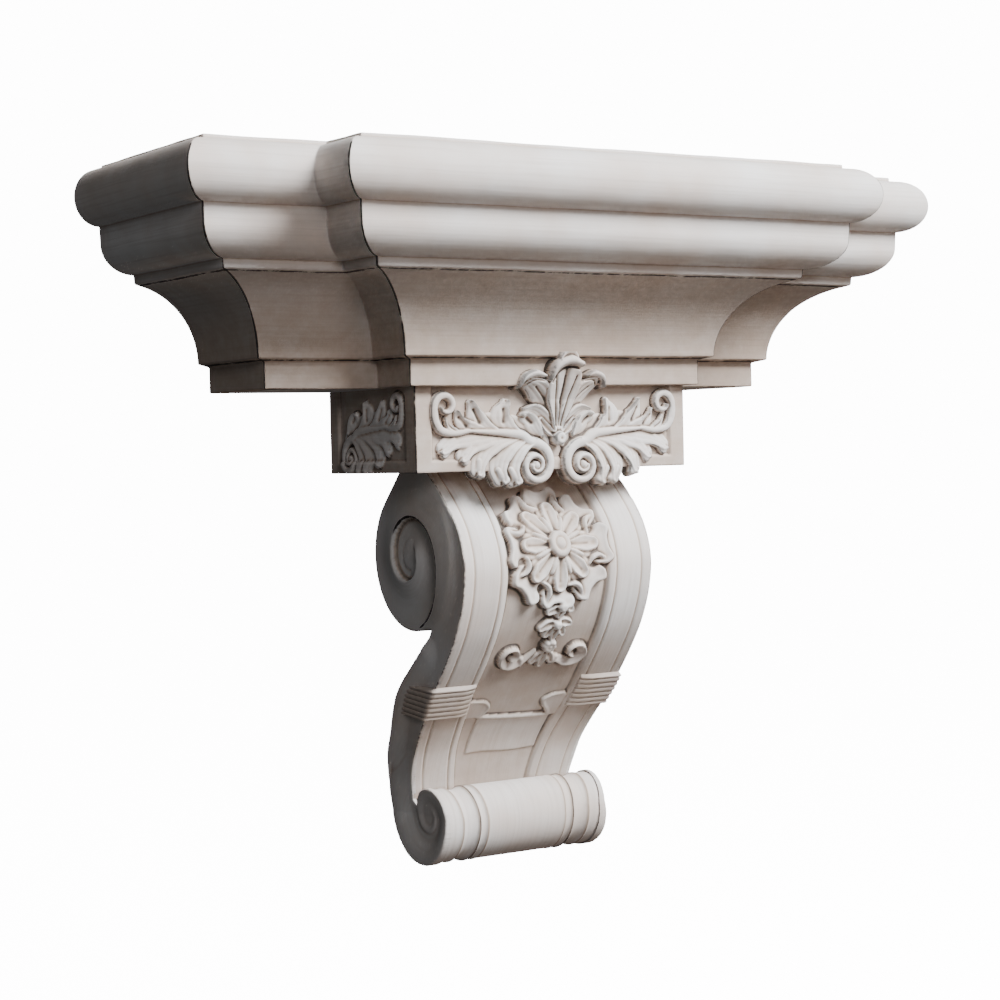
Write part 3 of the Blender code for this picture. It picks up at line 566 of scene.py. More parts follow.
def frieze_spray(relief, mirror, scale, origin, rise):
    """Half an acanthus spray. Points are (across, up) in millimetres for a full size spray.
    Up is 0 at the block's top."""

    def at(points):
        return [(origin[0] + mirror * scale * u, origin[1] + scale * (v + 36.0)) for u, v in points]

    flip = {"fold": "turn", "turn": "fold"}

    def lay(points, wide, high, kind="round", **more):
        if mirror < 0:
            kind = flip.get(kind, kind)
        relief.leaf(at(points), [scale * w for w in wide], [rise * h for h in high], kind, **more)

    def winding(centre, radius, start, turns, shrink, count):
        t = np.linspace(0.0, turns, count)
        angle = np.radians(start) + math.tau * t
        r = radius * np.exp(-shrink * t)
        return list(zip(centre[0] + r * np.cos(angle), centre[1] + r * np.sin(angle)))

    bed = [(14, -40), (34, -40), (56, -38), (76, -36), (92, -35)]
    lay(bed, [9, 15, 13, 9, 5], [2.2, 2.6, 2.4, 1.8], "flat")
    lay([(16, -32), (36, -28), (58, -25), (78, -24)], [6, 9, 9, 5], [2.2, 2.4, 2.2, 1.6], "flat")
    lower = [
        [(59, -33), (77, -34.5), (91, -37), (100, -43)],
        [(46, -34), (64, -36), (77, -41), (84, -49)],
        [(37, -35), (54, -38), (65, -45), (70, -53), (72, -60)],
        [(30, -36), (44, -42), (52, -51), (54, -60), (52, -67)],
        [(23, -38), (35, -43), (41.5, -51), (43.5, -60), (41, -68)],
    ]
    for k, spine in enumerate(lower):
        high = 3.6 + 1.05 * k
        lay(spine, [4.0, 7.6, 9.2, 8.0, 5.6], [high, high + 1.2, high + 0.7, high + 1.8], "turn", veins=0.04)
        tip, before = np.array(spine[-1]), np.array(spine[-2])
        way = (tip - before) / np.linalg.norm(tip - before)
        outer = tip + 2.2 * way - 4.2 * np.array([-way[1], way[0]])
        curl = [tuple(before), tuple(0.4 * before + 0.6 * outer), tuple(outer)]
        lay(curl, [3.0, 4.2, 3.4], [high - 0.2, high + 0.8])
    upper = [
        ([(65, -31), (76, -29), (85, -24), (88, -17)], [4.0, 6.4, 5.4, 2.4]),
        ([(54, -33), (66, -28), (72, -20), (76, -10)], [4.5, 8.4, 8.2, 3.0]),
        ([(36, -34), (46, -28), (50, -20), (46, -10)], [5.0, 9.4, 9.0, 3.6]),
        ([(16, -34), (21, -28), (26, -22), (29, -21)], [3.6, 6.6, 6.6, 5.0]),
    ]
    for k, (spine, wide) in enumerate(upper):
        high = 4.8 + 0.6 * k
        lay(spine, wide, [high, high + 0.8, high + 1.6], "fold", veins=0.04)
        hollow = [tuple(0.5 * np.array(p) + 0.5 * np.array(q)) for p, q in zip(spine[1:], spine[2:])]
        relief.press(at(hollow), [1.7 * scale], 1.9 * rise)
    stem = [(80, -30.5), (62, -31.5), (45, -32.6), (32, -34.5)]
    volute = winding((21.5, -57.0), 17.2, 84, 1.75, 0.86, 110)
    wide = [1.4, 2.4, 3.6, 4.6, 4.4, 4.0, 3.6, 3.2, 2.6, 2.0]
    lay(stem + volute, wide, [5.0, 6.2, 7.4, 7.8, 8.2, 8.6, 9.0])
    relief.dome(at([(21.5, -57.0)])[0], 3.4 * scale, 3.0 * rise, 6.2 * rise)
    hook = [(78, -30.5), (92, -32), (103, -29), (107.5, -20)]
    hook += winding((98.5, -11.5), 9.2, -10, 0.95, 0.75, 50)
    lay(hook, [2.0, 2.8, 3.6, 3.8, 3.4, 2.8, 1.8], [4.8, 5.4, 5.8, 6.6])
    lay([(88, -31), (96, -26), (98, -21)], [2.0, 3.0, 1.2], [4.6, 4.8], "vein")


def plaque(name, relief, sigma, lean):
    """The carved part of a relief as a closed shell in front of the frieze. lean is its reach forward."""
    thick = 4.0
    face = FRIEZE_DEPTH / MM - FRIEZE_SINK

    def place(u, v, h):
        return np.stack([u, -face - h, v], axis=-1) * MM

    carving = blurred(relief.height, sigma)
    uu, vv = np.meshgrid(relief.u, relief.v)
    shown = carving > 0.35
    forward = lean(uu, vv)
    step = relief.u[1] - relief.u[0]
    # Hollows painted dark: glazing and painted shade.
    glaze_and_shade = hollows(carving, step, (1.0, 1.5, 0.7), (0.9, 0.7, 0.3), (0.36, 4.0, 1.4))
    rub_and_shade = 0.43 * crest(carving, step, 0.7, 0.4)
    verts = place(uu, vv, np.where(shown, carving, -thick) + forward).reshape(-1, 3)
    quads = grid_faces(*uu.shape)
    quads = quads[shown.ravel()[quads].any(axis=1)]
    names, front_quads = np.unique(quads, return_inverse=True)
    some = (slice(None, None, 2), slice(None, None, 2))
    back = place(uu[some], vv[some], forward[some] - 0.75 * thick).reshape(-1, 3)
    quads = grid_faces(*uu[some].shape, flip=True)
    quads = quads[shown[some].ravel()[quads].any(axis=1)]
    used, back_quads = np.unique(quads, return_inverse=True)
    verts = np.concatenate([verts[names], back[used]])
    faces = np.concatenate([front_quads.reshape(-1, 4), back_quads.reshape(-1, 4) + len(names)])
    dark = np.concatenate([glaze_and_shade.ravel()[names], np.full(len(used), 0.3)])
    wear_and_shade = np.concatenate([rub_and_shade.ravel()[names], np.zeros(len(used))])
    finish_piece(name, verts, faces, FRIEZE_PAINT, dark, wear_and_shade)


def frieze_carving():
    step = 0.42
    relief = Relief(np.arange(-108.0, 108.0 + step, step), np.arange(-75.0, 2.0, step))
    for mirror in (-1, 1):
        frieze_spray(relief, mirror, 0.94 + 0.01 * mirror, (0.0, -36.0), 1.0)
    plaque("frieze_spray", relief, 0.75, lambda u, v: 0.0 * u)


def palmette():
    """The leaf over the middle of the frieze, which leans out over the fascia, and the bud at its root."""
    step = 0.36
    relief = Relief(np.arange(-40.0, 40.0 + step, step), np.arange(-44.0, 23.0, step))
    for side in (-1, 1):

        def on_side(*points):
            return [(side * u, v) for u, v in points]

        kind = "fold" if side > 0 else "turn"
        lobe = on_side((2, -32), (12, -22), (20, -17), (27, -17))
        relief.leaf(lobe, [3, 5.6, 5.4, 2.2], [6.4, 7.0, 7.4], kind, veins=0.06)
        lobe = on_side((2, -31), (9, -14), (19, -3), (30, 3))
        relief.leaf(lobe, [3, 7.0, 9.0, 8.0, 4.0], [7.0, 7.8, 8.6, 9.0], kind, veins=0.06)
        cap = on_side((36, -1), (33, 5), (26, 8), (17, 6.5))
        relief.leaf(cap, [1.4, 2.8, 3.2, 1.6], [9.2, 10.2, 10.4, 9.2])
        relief.press(on_side((30, 0), (25, 3.4), (17, 3)), [0.6], 1.4)
        relief.press(on_side((6, -24), (13, -10), (22, -1)), [0.7], 1.2)
    middle = [(0, -34), (0, -20), (0, -4), (0, 8), (0, 17)]
    relief.leaf(middle, [3, 6.5, 11.5, 15.0, 14.5, 9.0], [7.8, 8.8, 9.8, 11.0], "petal")
    cap = [(-13.5, 4), (-9.5, 13), (0, 17), (11, 14.5)]
    relief.leaf(cap, [1.6, 3.6, 4.2, 2.8], [11.4, 12.6, 13.0, 12.2])
    relief.press([(-11, 2), (-7, 9), (1, 12.2), (12, 10.5)], [0.6], 1.8)
    for rib in (-1, 0, 1):
        relief.press([(rib * 2.0, -28), (rib * 5.0, -10), (rib * 8.5, 6)], [0.8], 1.5)
    for side in (-1, 1):
        sepal = [(side * 3, -35), (side * 10, -29), (side * 14, -24)]
        relief.leaf(sepal, [2.0, 3.2, 2.0], [8.4, 9.0, 8.8], "spoon")
    relief.dome((0.0, -37.0), 5.0, 4.0, 7.6, 0.4)

    def lean(u, v):
        return np.interp(v, [-44, -26, -10, 0, 10, 23], [0.0, 0.5, 4.5, 9.0, 12.5, 15.0]) - 0.10 * np.abs(u)

    plaque("palmette", relief, 0.7, lean)


def frieze():
    """The frieze block as one grid round its two sides and front, its sunk panels and the sides' carving."""
    x, y = FRIEZE_HALF_WIDTH / MM, FRIEZE_DEPTH / MM
    step = 0.70
    radius = 1.0
    tuck = 3.0
    margin, foot_margin = 13.0, 7.8
    side_run, front_run, bend = y - radius, 2 * (x - radius), radius * math.pi / 2
    total = 2 * side_run + front_run + 2 * bend
    runs = np.linspace(0.0, total, int(total / step) + 1)
    plan = []
    ways = []
    for run in runs:
        if run < side_run:
            plan.append((-x, -run))
            ways.append((-1.0, 0.0))
        elif run < side_run + bend:
            a = (run - side_run) / radius
            ways.append((-math.cos(a), -math.sin(a)))
            plan.append((-x + radius + radius * ways[-1][0], -side_run + radius * ways[-1][1]))
        elif run < side_run + bend + front_run:
            plan.append((-x + radius + run - side_run - bend, -y))
            ways.append((0.0, -1.0))
        elif run < side_run + 2 * bend + front_run:
            a = (run - side_run - bend - front_run) / radius
            ways.append((math.sin(a), -math.cos(a)))
            plan.append((x - radius + radius * ways[-1][0], -side_run + radius * ways[-1][1]))
        else:
            plan.append((x, -(total - run)))
            ways.append((1.0, 0.0))
    plan = np.array(plan)
    ways = np.array(ways)
    low = -FRIEZE_HEIGHT / MM
    levels = np.linspace(low, tuck, int((tuck - low) / step) + 1)
    relief = Relief(runs - (side_run + bend + x - radius), levels)
    for mirror in (-1, 1):
        frieze_spray(relief, -mirror, 0.80, (mirror * (total / 2 - 15.0), -31.0), 0.55)
    carving = blurred(relief.height, 0.7)
    z, u = levels[:, None], relief.u[None, :]
    panel = np.zeros_like(carving)
    side_middle = x + bend - radius + y / 2
    for centre, wide in ((0.0, x), (-side_middle, y / 2), (side_middle, y / 2)):
        inside = np.minimum(wide - margin - np.abs(u - centre), z - (low + foot_margin))
        panel -= FRIEZE_SINK * smoothstep(-1.0, 1.6, inside)
    surface = np.where(carving > 0.02, panel + carving, panel)
    surface = surface - 0.45 * np.clip(1 - (z - low) / 0.9, 0, 1) ** 2
    # Hollows painted dark: glazing and painted shade.
    glaze_and_shade = hollows(surface, step, (1.0, 1.5, 0.75), (0.75, 0.8, 0.35))
    # The plain ground, wherever there is no carving, is painted darker: some dirt, and painted shade under
    # the shelf.
    glaze_and_shade = np.maximum(glaze_and_shade, 0.41 * (carving < 0.3))
    rub_and_shade = 0.35 * crest(surface, step, 0.7, 0.4) * (carving > 0.25)
    rub_and_shade = np.maximum(rub_and_shade, 0.55 * bell(z - low, 0.7))
    rub_and_shade = np.maximum(rub_and_shade, 0.8 * bell(np.abs(np.abs(u) - x), 0.8))
    across = plan[:, 0] + ways[:, 0] * surface
    depth = np.minimum(plan[:, 1] + ways[:, 1] * surface, 0.0)
    points = np.stack([across, depth, z + 0 * surface], axis=-1) * MM
    lift = uneven(points[::4, ::4], 0.03, 0.0003, 2.0)
    lift = np.repeat(np.repeat(lift, 4, axis=0), 4, axis=1)[: surface.shape[0], : surface.shape[1]]
    lift = blurred(lift, 3.0)
    points[..., 0] += ways[:, 0] * lift
    points[..., 1] = np.minimum(points[..., 1] + ways[:, 1] * lift, 0.0)
    finish_grid("frieze_block", points, FRIEZE_PAINT, glaze_and_shade, rub_and_shade)
    half = points.shape[1] // 2
    under = np.linspace(points[0, :half:4], points[0, ::-1][:half:4], 40)
    rows = np.linspace(0, np.searchsorted(levels, 0.2), 12).astype(int)
    back = np.linspace(points[rows, 0], points[rows, -1], 12)
    for name, sheet in (("frieze_underside", under), ("frieze_back", back)):
        still = np.full(sheet.shape[:2], 0.15)
        finish_grid(name, sheet, FRIEZE_PAINT, still, 0 * still)


# Console


def console_point(share):
    return -share[0] * CONSOLE_DEPTH, -FRIEZE_HEIGHT - share[1] * CONSOLE_HEIGHT


def front_curve(count):
    return smooth([console_point(share) for share in FRONT_SHARES], count)


def back_curve(count):
    return smooth([console_point(share) for share in BACK_SHARES], count)


def volute_centre():
    return np.array([-VOLUTE_RADIUS, -FRIEZE_HEIGHT - VOLUTE_DROP])


def scroll_centre():
    return np.array([-SCROLL_RADIUS, -FRIEZE_HEIGHT - SCROLL_DROP])


def scroll_curve(first, last, count):
    angle = np.linspace(first, last, count + 1)
    radius = SCROLL_RADIUS * np.exp(-SCROLL_SHRINK * angle / 360)
    turn = np.radians(-angle)
    return scroll_centre() + np.stack([radius * np.cos(turn), radius * np.sin(turn)], axis=1)


def volute_outline(count):
    centre = volute_centre()
    angles = np.radians(np.linspace(-107, 45, count + 1))
    ring = [centre + VOLUTE_RADIUS * np.array([math.cos(a), math.sin(a)]) for a in angles]
    rise = -FRIEZE_HEIGHT + 0.004 - ring[-1][1]
    return np.array(ring + [ring[-1] + np.array([-rise, rise])])


def half_width(z):
    below = (-FRIEZE_HEIGHT - WAIST_DROP - z) / (SCROLL_DROP - WAIST_DROP)
    return CONSOLE_HALF_WIDTH + (CONSOLE_FOOT_HALF_WIDTH - CONSOLE_HALF_WIDTH) * np.clip(below, 0.0, 1.0)


def offset_curve(path, distance):
    """The path moved to the right of its direction for a positive distance."""
    way = tangents(path)
    return path + np.asarray(distance)[..., None] * np.stack([way[:, 1], -way[:, 0]], axis=1)


def border_height(inward):
    """The border's section in millimetres, from the console's edge inwards to the sunk panel."""
    outer_groove, inner_groove, bead_width = 8.8, 30.4, 6.6
    height = -0.5 * np.clip(1 - inward / 1.0, 0, 1) ** 2
    height = height - 0.8 * bell(inward - outer_groove, 0.9)
    height = height - 1.0 * bell(inward - inner_groove, 0.9)
    bead = np.clip((inward - inner_groove) / bead_width, 0, 1)
    height = height - 1.6 * bead**2 * (inward > inner_groove)
    return height - 2.6 * smoothstep(36.0, 38.8, inward)


def rosette(relief):
    """The rosette: eight broad wavy petals, a curl in each gap, an inner flower and a ringed eye."""
    petals = 8
    reach = 51.0
    stretch = 1.07
    window = relief.window((-reach, -reach), (reach, reach))
    uu, vv = np.meshgrid(relief.u[window[1]], relief.v[window[0]] / stretch)
    r = np.hypot(uu, vv)
    angle = np.arctan2(vv, uu)
    signed = (angle / math.tau * petals + 0.5) % 1.0 - 0.5
    petal = np.abs(signed) * 2
    wave = 1 + 0.030 * np.sin(3 * angle + 0.7) + 0.022 * np.sin(5 * angle + 2.0)
    corner = bell(petal - 0.58, 0.26)
    rim = 46.0 * wave * (0.92 + 0.09 * corner) * (1 - 0.13 * smoothstep(0.86, 1.0, petal))
    share = r / rim
    edge = np.sqrt(np.clip((1 - share) / 0.030, 0, 1))
    flare = smoothstep(0.66, 0.98, share)
    dish = 4.4 - 1.9 * bell(share - 0.74, 0.11)
    dish = dish + flare * (0.4 + 1.8 * corner) + 1.2 * bell(share - 0.94, 0.045)
    outer = np.where(share < 1, dish * edge, 0.0)
    hub = np.where(r < 9.0, 8.0 + 1.5 * np.sin(math.pi * np.clip((r - 3.6) / 5.4, 0, 1)), 0.0)
    eye = np.where(r < 4.0, 8.3 + 2.2 * np.sqrt(np.clip(1 - (r / 4.0) ** 2, 0, 1)), 0.0)
    made = np.maximum.reduce([outer, hub, eye])
    relief.height[window] = np.maximum(relief.height[window], made)

    def spots(angle, *places):
        """Points given as (radius, turn past the angle)."""
        return [(r * math.cos(angle + off), stretch * r * math.sin(angle + off)) for r, off in places]

    for k in range(petals):
        turn = math.tau * k / petals
        between = turn + math.tau / (2 * petals)
        tip = 27.5 + 1.5 * math.cos(3 * turn)
        petal_spine = spots(turn, (7.5, 0), (14, 0), (20, 0), (tip, 0))
        relief.leaf(petal_spine, [2.0, 3.4, 5.4, 6.6, 5.2], [7.6, 7.6, 8.0, 9.0], "spoon")
        relief.press(spots(turn, (10, 0), (18, 0), (25, 0)), [0.7], 0.8)
        relief.leaf(spots(between, (9, 0), (15, 0), (20, 0)), [1.4, 2.4, 1.8], [7.0, 7.2, 6.8])
        curl = spots(between, (39, -0.13), (34, -0.14), (29.5, -0.04), (29, 0.1))
        relief.leaf(curl, [1.4, 2.3, 2.1, 1.4], [6.4, 7.4, 7.6, 6.6])
        hook = spots(between, (47, -0.03), (41, 0), (36.5, 0.03), (33, 0.08))
        relief.press(hook, [0.8, 0.8, 1.0, 1.2], 3.6)
        relief.press(spots(between, (34, 0.06), (33, 0.07), (32, 0.08)), [2.1], 5.0)


def drop_and_scrolls(relief):
    """Below the rosette: two small blossoms, a bud, and a pair of C-scrolls.
    The second coordinate runs down from the rosette's middle."""
    for side, reach in ((-1, 0.90), (1, 1.06)):
        half = [
            (6.0, 84.5), (11.0, 89.5), (17.0, 94.0), (24.0, 97.0), (31.5, 95.0), (35.0, 89.0), (32.0, 83.5),
            (26.5, 82.5), (23.6, 87.0), (27.0, 90.0),
        ]
        scroll = [(side * reach * u, v) for u, v in half]
        wide = [1.4, 2.2, 3.4, 4.0, 4.0, 3.8, 3.4, 3.0, 2.2]
        relief.leaf(scroll, wide, [3.8, 4.4, 5.2, 6.0, 6.6, 6.8], "fold" if side > 0 else "turn")
        relief.leaf([(side * 15, 91), (side * 14, 96), (side * 12.5, 100)], [2.0, 2.2, 0.9], [4.2, 4.4, 3.0])
    petals = [
        ([(5, 46), (-1, 49), (-6, 51)], [3.4, 4.6, 3.6], 5.6),
        ([(5, 44), (6, 50), (4, 55)], [3.4, 4.6, 3.0], 6.6),
        ([(5, 46), (11, 44), (15, 49)], [3.2, 4.4, 3.8], 6.0),
        ([(4, 60), (-4, 60), (-10, 64)], [3.4, 4.8, 3.8], 6.0),
        ([(4, 60), (-1, 66), (-4, 71)], [3.4, 4.6, 3.4], 6.4),
        ([(4, 60), (11, 58), (17, 60)], [3.4, 4.6, 3.6], 6.0),
        ([(4, 60), (10, 65), (13, 70)], [3.4, 4.6, 3.4], 6.4),
        ([(4, 60), (4, 68), (4, 74)], [3.6, 4.8, 3.2], 7.2),
        ([(3, 85), (-4, 91), (-7, 96)], [3.0, 4.4, 3.2], 5.4),
        ([(3, 85), (10, 91), (12, 96)], [3.0, 4.4, 3.2], 5.4),
        ([(3, 85), (2, 93), (2, 99)], [3.0, 4.8, 3.6], 6.2),
    ]
    for spine, wide, high in petals:
        root = np.array(spine[0])
        spine = [tuple(root + 0.84 * (np.array(point) - root)) for point in spine]
        relief.leaf(spine, [0.84 * w for w in wide], [high, high + 0.8, high + 0.4], "spoon")
    for spot in ((5, 46), (4, 60)):
        relief.dome(spot, 3.4, 2.4, 6.4, 0.3)
    for k in range(9):
        angle = math.tau * k / 8
        reach = 3.6 if k < 8 else 0.0
        relief.dome((4 + reach * math.cos(angle), 79 + reach * math.sin(angle)), 2.4, 2.2, 4.6)


def cloth(relief):
    """The ribbon drawn between the straps, with its folded lip and the sheet that hangs below it."""
    uu, vv = np.meshgrid(relief.u, relief.v)
    lip = np.interp(uu, [-30, 0, 32], [149.0, 151.0, 153.0])
    below = vv - lip
    left = uu + 29.5 + 0.03 * below
    right = 38.0 - uu
    foot = 186.0 - vv + 0.7 * np.sin(uu / 9.0)
    inside = np.minimum(np.minimum(left, right), foot)
    sheet = (2.0 - 0.012 * below) * smoothstep(0.0, 1.3, inside) * (below > -1.0)
    relief.height = np.maximum(relief.height, sheet)
    hem = [(-31.5, 148.5), (-15, 150.2), (0, 151.2), (18, 152.0), (33, 152.5)]
    relief.leaf(hem, [1.6, 1.9, 2.0, 1.9, 1.5], [3.2, 3.4, 3.5, 3.2])
    right_fold = [(34.0, 152.0), (30.5, 146.0), (25.5, 141.0), (23.5, 136.5), (28.0, 133.0), (40.0, 131.0)]
    left_fold = [(-31.5, 148.5), (-27.0, 144.5), (-24.5, 139.0), (-28.0, 134.5), (-40.0, 132.0)]
    for fold, side in ((right_fold, 1), (left_fold, -1)):
        path = smooth(fold, 60)
        edge = np.interp(vv, np.sort(path[:, 1]), path[np.argsort(path[:, 1]), 0])
        reach = side * (uu - edge)
        within = (vv > 131.5) & (vv < lip + 0.5)
        plane = 2.6 * smoothstep(0.0, 1.2, reach) * within
        relief.height = np.maximum(relief.height, plane)
        relief.leaf(fold, [1.5, 1.7, 1.6, 1.2], [3.4, 3.4, 3.2, 2.8])


def console_front():
    """The console's front as two grids over its curve: borders, sunk panel and all the carving on it."""
    path = front_curve(2400)
    ways = tangents(path)
    total = length_of(path)
    step = 0.60
    half = CONSOLE_HALF_WIDTH / MM
    across = np.linspace(-half, half, int(2 * half / step) + 1)
    cuts = [-0.009, 0.148, total]
    for part, (start, end) in enumerate(zip(cuts, cuts[1:])):
        run = np.linspace(start, end, int((end - start) / MM / step) + 1)
        at = run / total * (len(path) - 1)
        low = np.clip(at.astype(int), 0, len(path) - 2)
        share = (at - low)[:, None]
        centre = path[low] * (1 - share) + path[low + 1] * share
        share = np.clip(share, 0, 1)
        way = ways[low] * (1 - share) + ways[low + 1] * share
        outward = np.stack([way[:, 1], -way[:, 0]], axis=1)
        widths = half_width(centre[:, 1]) / MM
        relief = Relief(across, (run - ROSETTE_DROP) / MM)
        rosette(relief)
        drop_and_scrolls(relief)
        cloth(relief)
        carving = blurred(relief.height, 0.8)
        x = across[None, :] * (widths / half)[:, None]
        inward = widths[:, None] - np.abs(x)
        border = border_height(inward)
        surface = np.where(carving > 0.02, np.maximum(border, carving - CONSOLE_SINK), border)
        run = run[:, None]
        # Just under the frieze the front is painted darker, more to the right: dirt streaks and painted shade
        # under the overhang.
        dirt_and_shade_under_frieze = bell(run, 0.020) * (0.55 + 0.45 * smoothstep(-30.0, 50.0, x))
        field = (carving < 0.3) * smoothstep(34.0, 39.0, inward)
        layers = [
            # glazing and painted shade in the hollows
            hollows(surface, step, (1.0, 1.6, 0.8), (0.8, 0.8, 0.4), (0.40, 4.5, 2.2)),
            0.42 * dirt_and_shade_under_frieze,
            # glazing and painted shade on the plain sunk ground, more further down
            (0.21 + 0.14 * smoothstep(0.02, 0.14, run)) * field,
            # painted shade on the lower front, where it turns down
            0.23 * smoothstep(0.10, 0.19, run) + 0 * x,
            # painted shade where the front runs into the crevice behind the roll
            0.50 * smoothstep(total - 0.016, total, run) + 0 * x,
        ]
        rub_and_shade = np.maximum(0.30 * crest(surface, step, 0.7, 0.4) * (carving > 0.3), 0.62 * bell(inward, 0.8))
        profile = centre[:, None, :] + outward[:, None, :] * surface[..., None] * MM
        points = np.concatenate([x[..., None] * MM, profile], axis=-1)
        finish_grid(f"console_front_{part}", points, CONSOLE_PAINT, np.maximum.reduce(layers), rub_and_shade, flip=True)


def roll_height(inward):
    """The roll's section in millimetres, from its end inwards: rim, collar, bead, then the plain barrel."""

    def swell(start, width):
        return np.sin(math.pi * np.clip((inward - start) / width, 0, 1))

    height = 1.2 * np.sqrt(np.clip(inward / 1.6, 0, 1))
    height = height - 0.6 * bell(inward - 12.6, 1.2) + 1.5 * swell(13.0, 13.0) ** 0.8
    height = height - 1.1 * bell(inward - 26.6, 0.9) + 0.5 * swell(26.6, 6.5)
    return height - 0.6 * bell(inward - 33.4, 0.9) - 0.5 * smoothstep(32.4, 34.4, inward)


def console_roll():
    """The rolled foot, with its collars, from the crevice behind it round to the wall."""
    outline = scroll_curve(356, 4, 170)
    half = CONSOLE_FOOT_HALF_WIDTH / MM
    across = np.linspace(-half, half, 210)
    step = across[1] - across[0]
    height = roll_height(half - np.abs(across))
    outward = -(offset_curve(outline, 1.0) - outline)
    points = np.zeros((len(outline), len(across), 3))
    points[..., 0] = across[None, :] / half * half_width(outline[:, 1])[:, None]
    for axis in (0, 1):
        points[..., axis + 1] = outline[:, axis][:, None] + outward[:, axis][:, None] * height[None, :] * MM
    points[..., 1] = np.minimum(points[..., 1], 0.0)
    surface = np.repeat(height[None, :], len(outline), axis=0)
    # The grooves by the collars painted dark: glazing and painted shade.
    glaze_and_shade = cavity(surface, step, 1.4, 0.7)
    finish_grid("console_roll", points, CONSOLE_PAINT, glaze_and_shade, 0.25 * crest(surface, step, 0.8, 0.3))


def console_back():
    """The band's back, the upper volute's rim and the body behind the front, in one plain strip."""
    foot = scroll_curve(345, 4, 200)[-12:]
    notch = np.array([console_point(NOTCH_SHARE)])
    rear = np.concatenate([foot, back_curve(120)[::-1], notch, volute_outline(150)])
    across = np.linspace(-1.0, 1.0, 90)
    points = np.zeros((len(rear), len(across), 3))
    points[..., 0] = across[None, :] * half_width(rear[:, 1])[:, None]
    points[..., 1] = np.minimum(rear[:, 0], 0.0)[:, None]
    points[..., 2] = rear[:, 1][:, None]
    still = np.zeros(points.shape[:2])
    edge = 0.6 * bell((1 - np.abs(across)) * 80, 0.9)[None, :] * np.ones((len(rear), 1))
    finish_grid("console_back", points, CONSOLE_PAINT, still, edge, flip=True)


def inside_polygon(points, polygon):
    """Which points lie inside a closed polygon."""
    result = np.zeros(len(points), bool)
    for (ay, az), (by, bz) in zip(polygon, np.roll(polygon, -1, axis=0)):
        if az == bz:
            continue
        crosses = (az > points[:, 1]) != (bz > points[:, 1])
        at = (by - ay) * (points[:, 1] - az) / (bz - az) + ay
        result ^= crosses & (points[:, 0] < at)
    return result


def side_outline():
    """The console's outline from the side: down the front, round the roll, up the back, round the volute."""
    front = front_curve(300)
    head = front[:1] + 0.004
    notch = np.array([console_point(NOTCH_SHARE)])
    back = back_curve(160)[::-1]
    outline = np.concatenate([head, front, scroll_curve(345, 4, 200), back, notch, volute_outline(160)])
    outline[:, 0] = np.minimum(outline[:, 0], 0.0)
    return outline


def side_relief(y, z):
    """How far the side's rims rise in millimetres: one winds in on the volute, one on the lower scroll.
    Also where the lower one counts, and a thin dark line of painted shade along the volute's groove."""
    rise = 4.6
    start_radius, shrink = 0.0506, 1.172
    centre = volute_centre() + np.array([0.0012, -0.0012])
    dy, dz = y - centre[0], z - centre[1]
    rho = np.maximum(np.hypot(dy, dz), 1e-5)
    turn = (np.arctan2(-dy, -dz) / math.tau) % 1.0
    wound = np.log(start_radius / rho) / shrink - turn
    whole = np.floor(wound)
    share = wound - whole
    inner = whole + 1 + turn
    fade = smoothstep(0.0, 0.22, inner) * (1 - smoothstep(1.25, 1.5, inner))
    upper = rise * fade * smoothstep(0.25, 1.0, share) ** 1.1
    upper = upper * smoothstep(0.0, 0.012, 0.0560 - rho + 0.010)
    eye = 1.2 * np.sqrt(np.clip(1 - (rho / 0.014) ** 2, 0, 1)) * (wound > 0.6)
    line = bell(rho * shrink * (1 - share) - 0.0012, 0.0010) * smoothstep(0.0, 0.06, inner)
    line = line * (1 - smoothstep(0.52, 0.72, inner)) * (rho < 0.0505)
    centre = scroll_centre()
    dy, dz = y - centre[0], z - centre[1]
    rho = np.maximum(np.hypot(dy, dz), 1e-5)
    turn = (-np.arctan2(dz, dy) / math.tau) % 1.0
    wound = np.log(SCROLL_RADIUS / rho) / SCROLL_SHRINK - turn
    whole = np.floor(wound)
    outer = whole + turn
    lower = rise * (1 - smoothstep(1.3, 1.75, outer)) * (1 - smoothstep(0.06, 0.70, wound - whole))
    lower = lower * (1 - 0.75 * smoothstep(0.35, 0.62, outer))
    in_scroll = smoothstep(centre[1] + 0.045, centre[1] + 0.012, z) * (outer > -0.35) * (rho < 0.060)
    return np.maximum(upper, eye), lower, in_scroll, line


def gaps_to(outline, flat):
    """How far each point lies from the closed outline, where it is near, and the nearest spot on it."""
    spacing, reach, batch = 0.0003, 0.0035, 40
    dense = filled(np.concatenate([outline, outline[:1]]), spacing)[:-1]
    gap = np.full(len(flat), 1.0)
    nearest = np.zeros((len(flat), 2))
    for k in range(0, len(dense), batch):
        chunk = dense[k : k + batch]
        low, high = chunk.min(axis=0) - reach, chunk.max(axis=0) + reach
        pick = np.where(((flat > low) & (flat < high)).all(axis=1))[0]
        if len(pick) == 0:
            continue
        away = np.linalg.norm(flat[pick][:, None, :] - chunk[None, :, :], axis=2)
        spot = away.argmin(axis=1)
        best = away[np.arange(len(pick)), spot]
        closer = best < gap[pick]
        gap[pick[closer]] = best[closer]
        nearest[pick[closer]] = chunk[spot[closer]]
    return gap, nearest


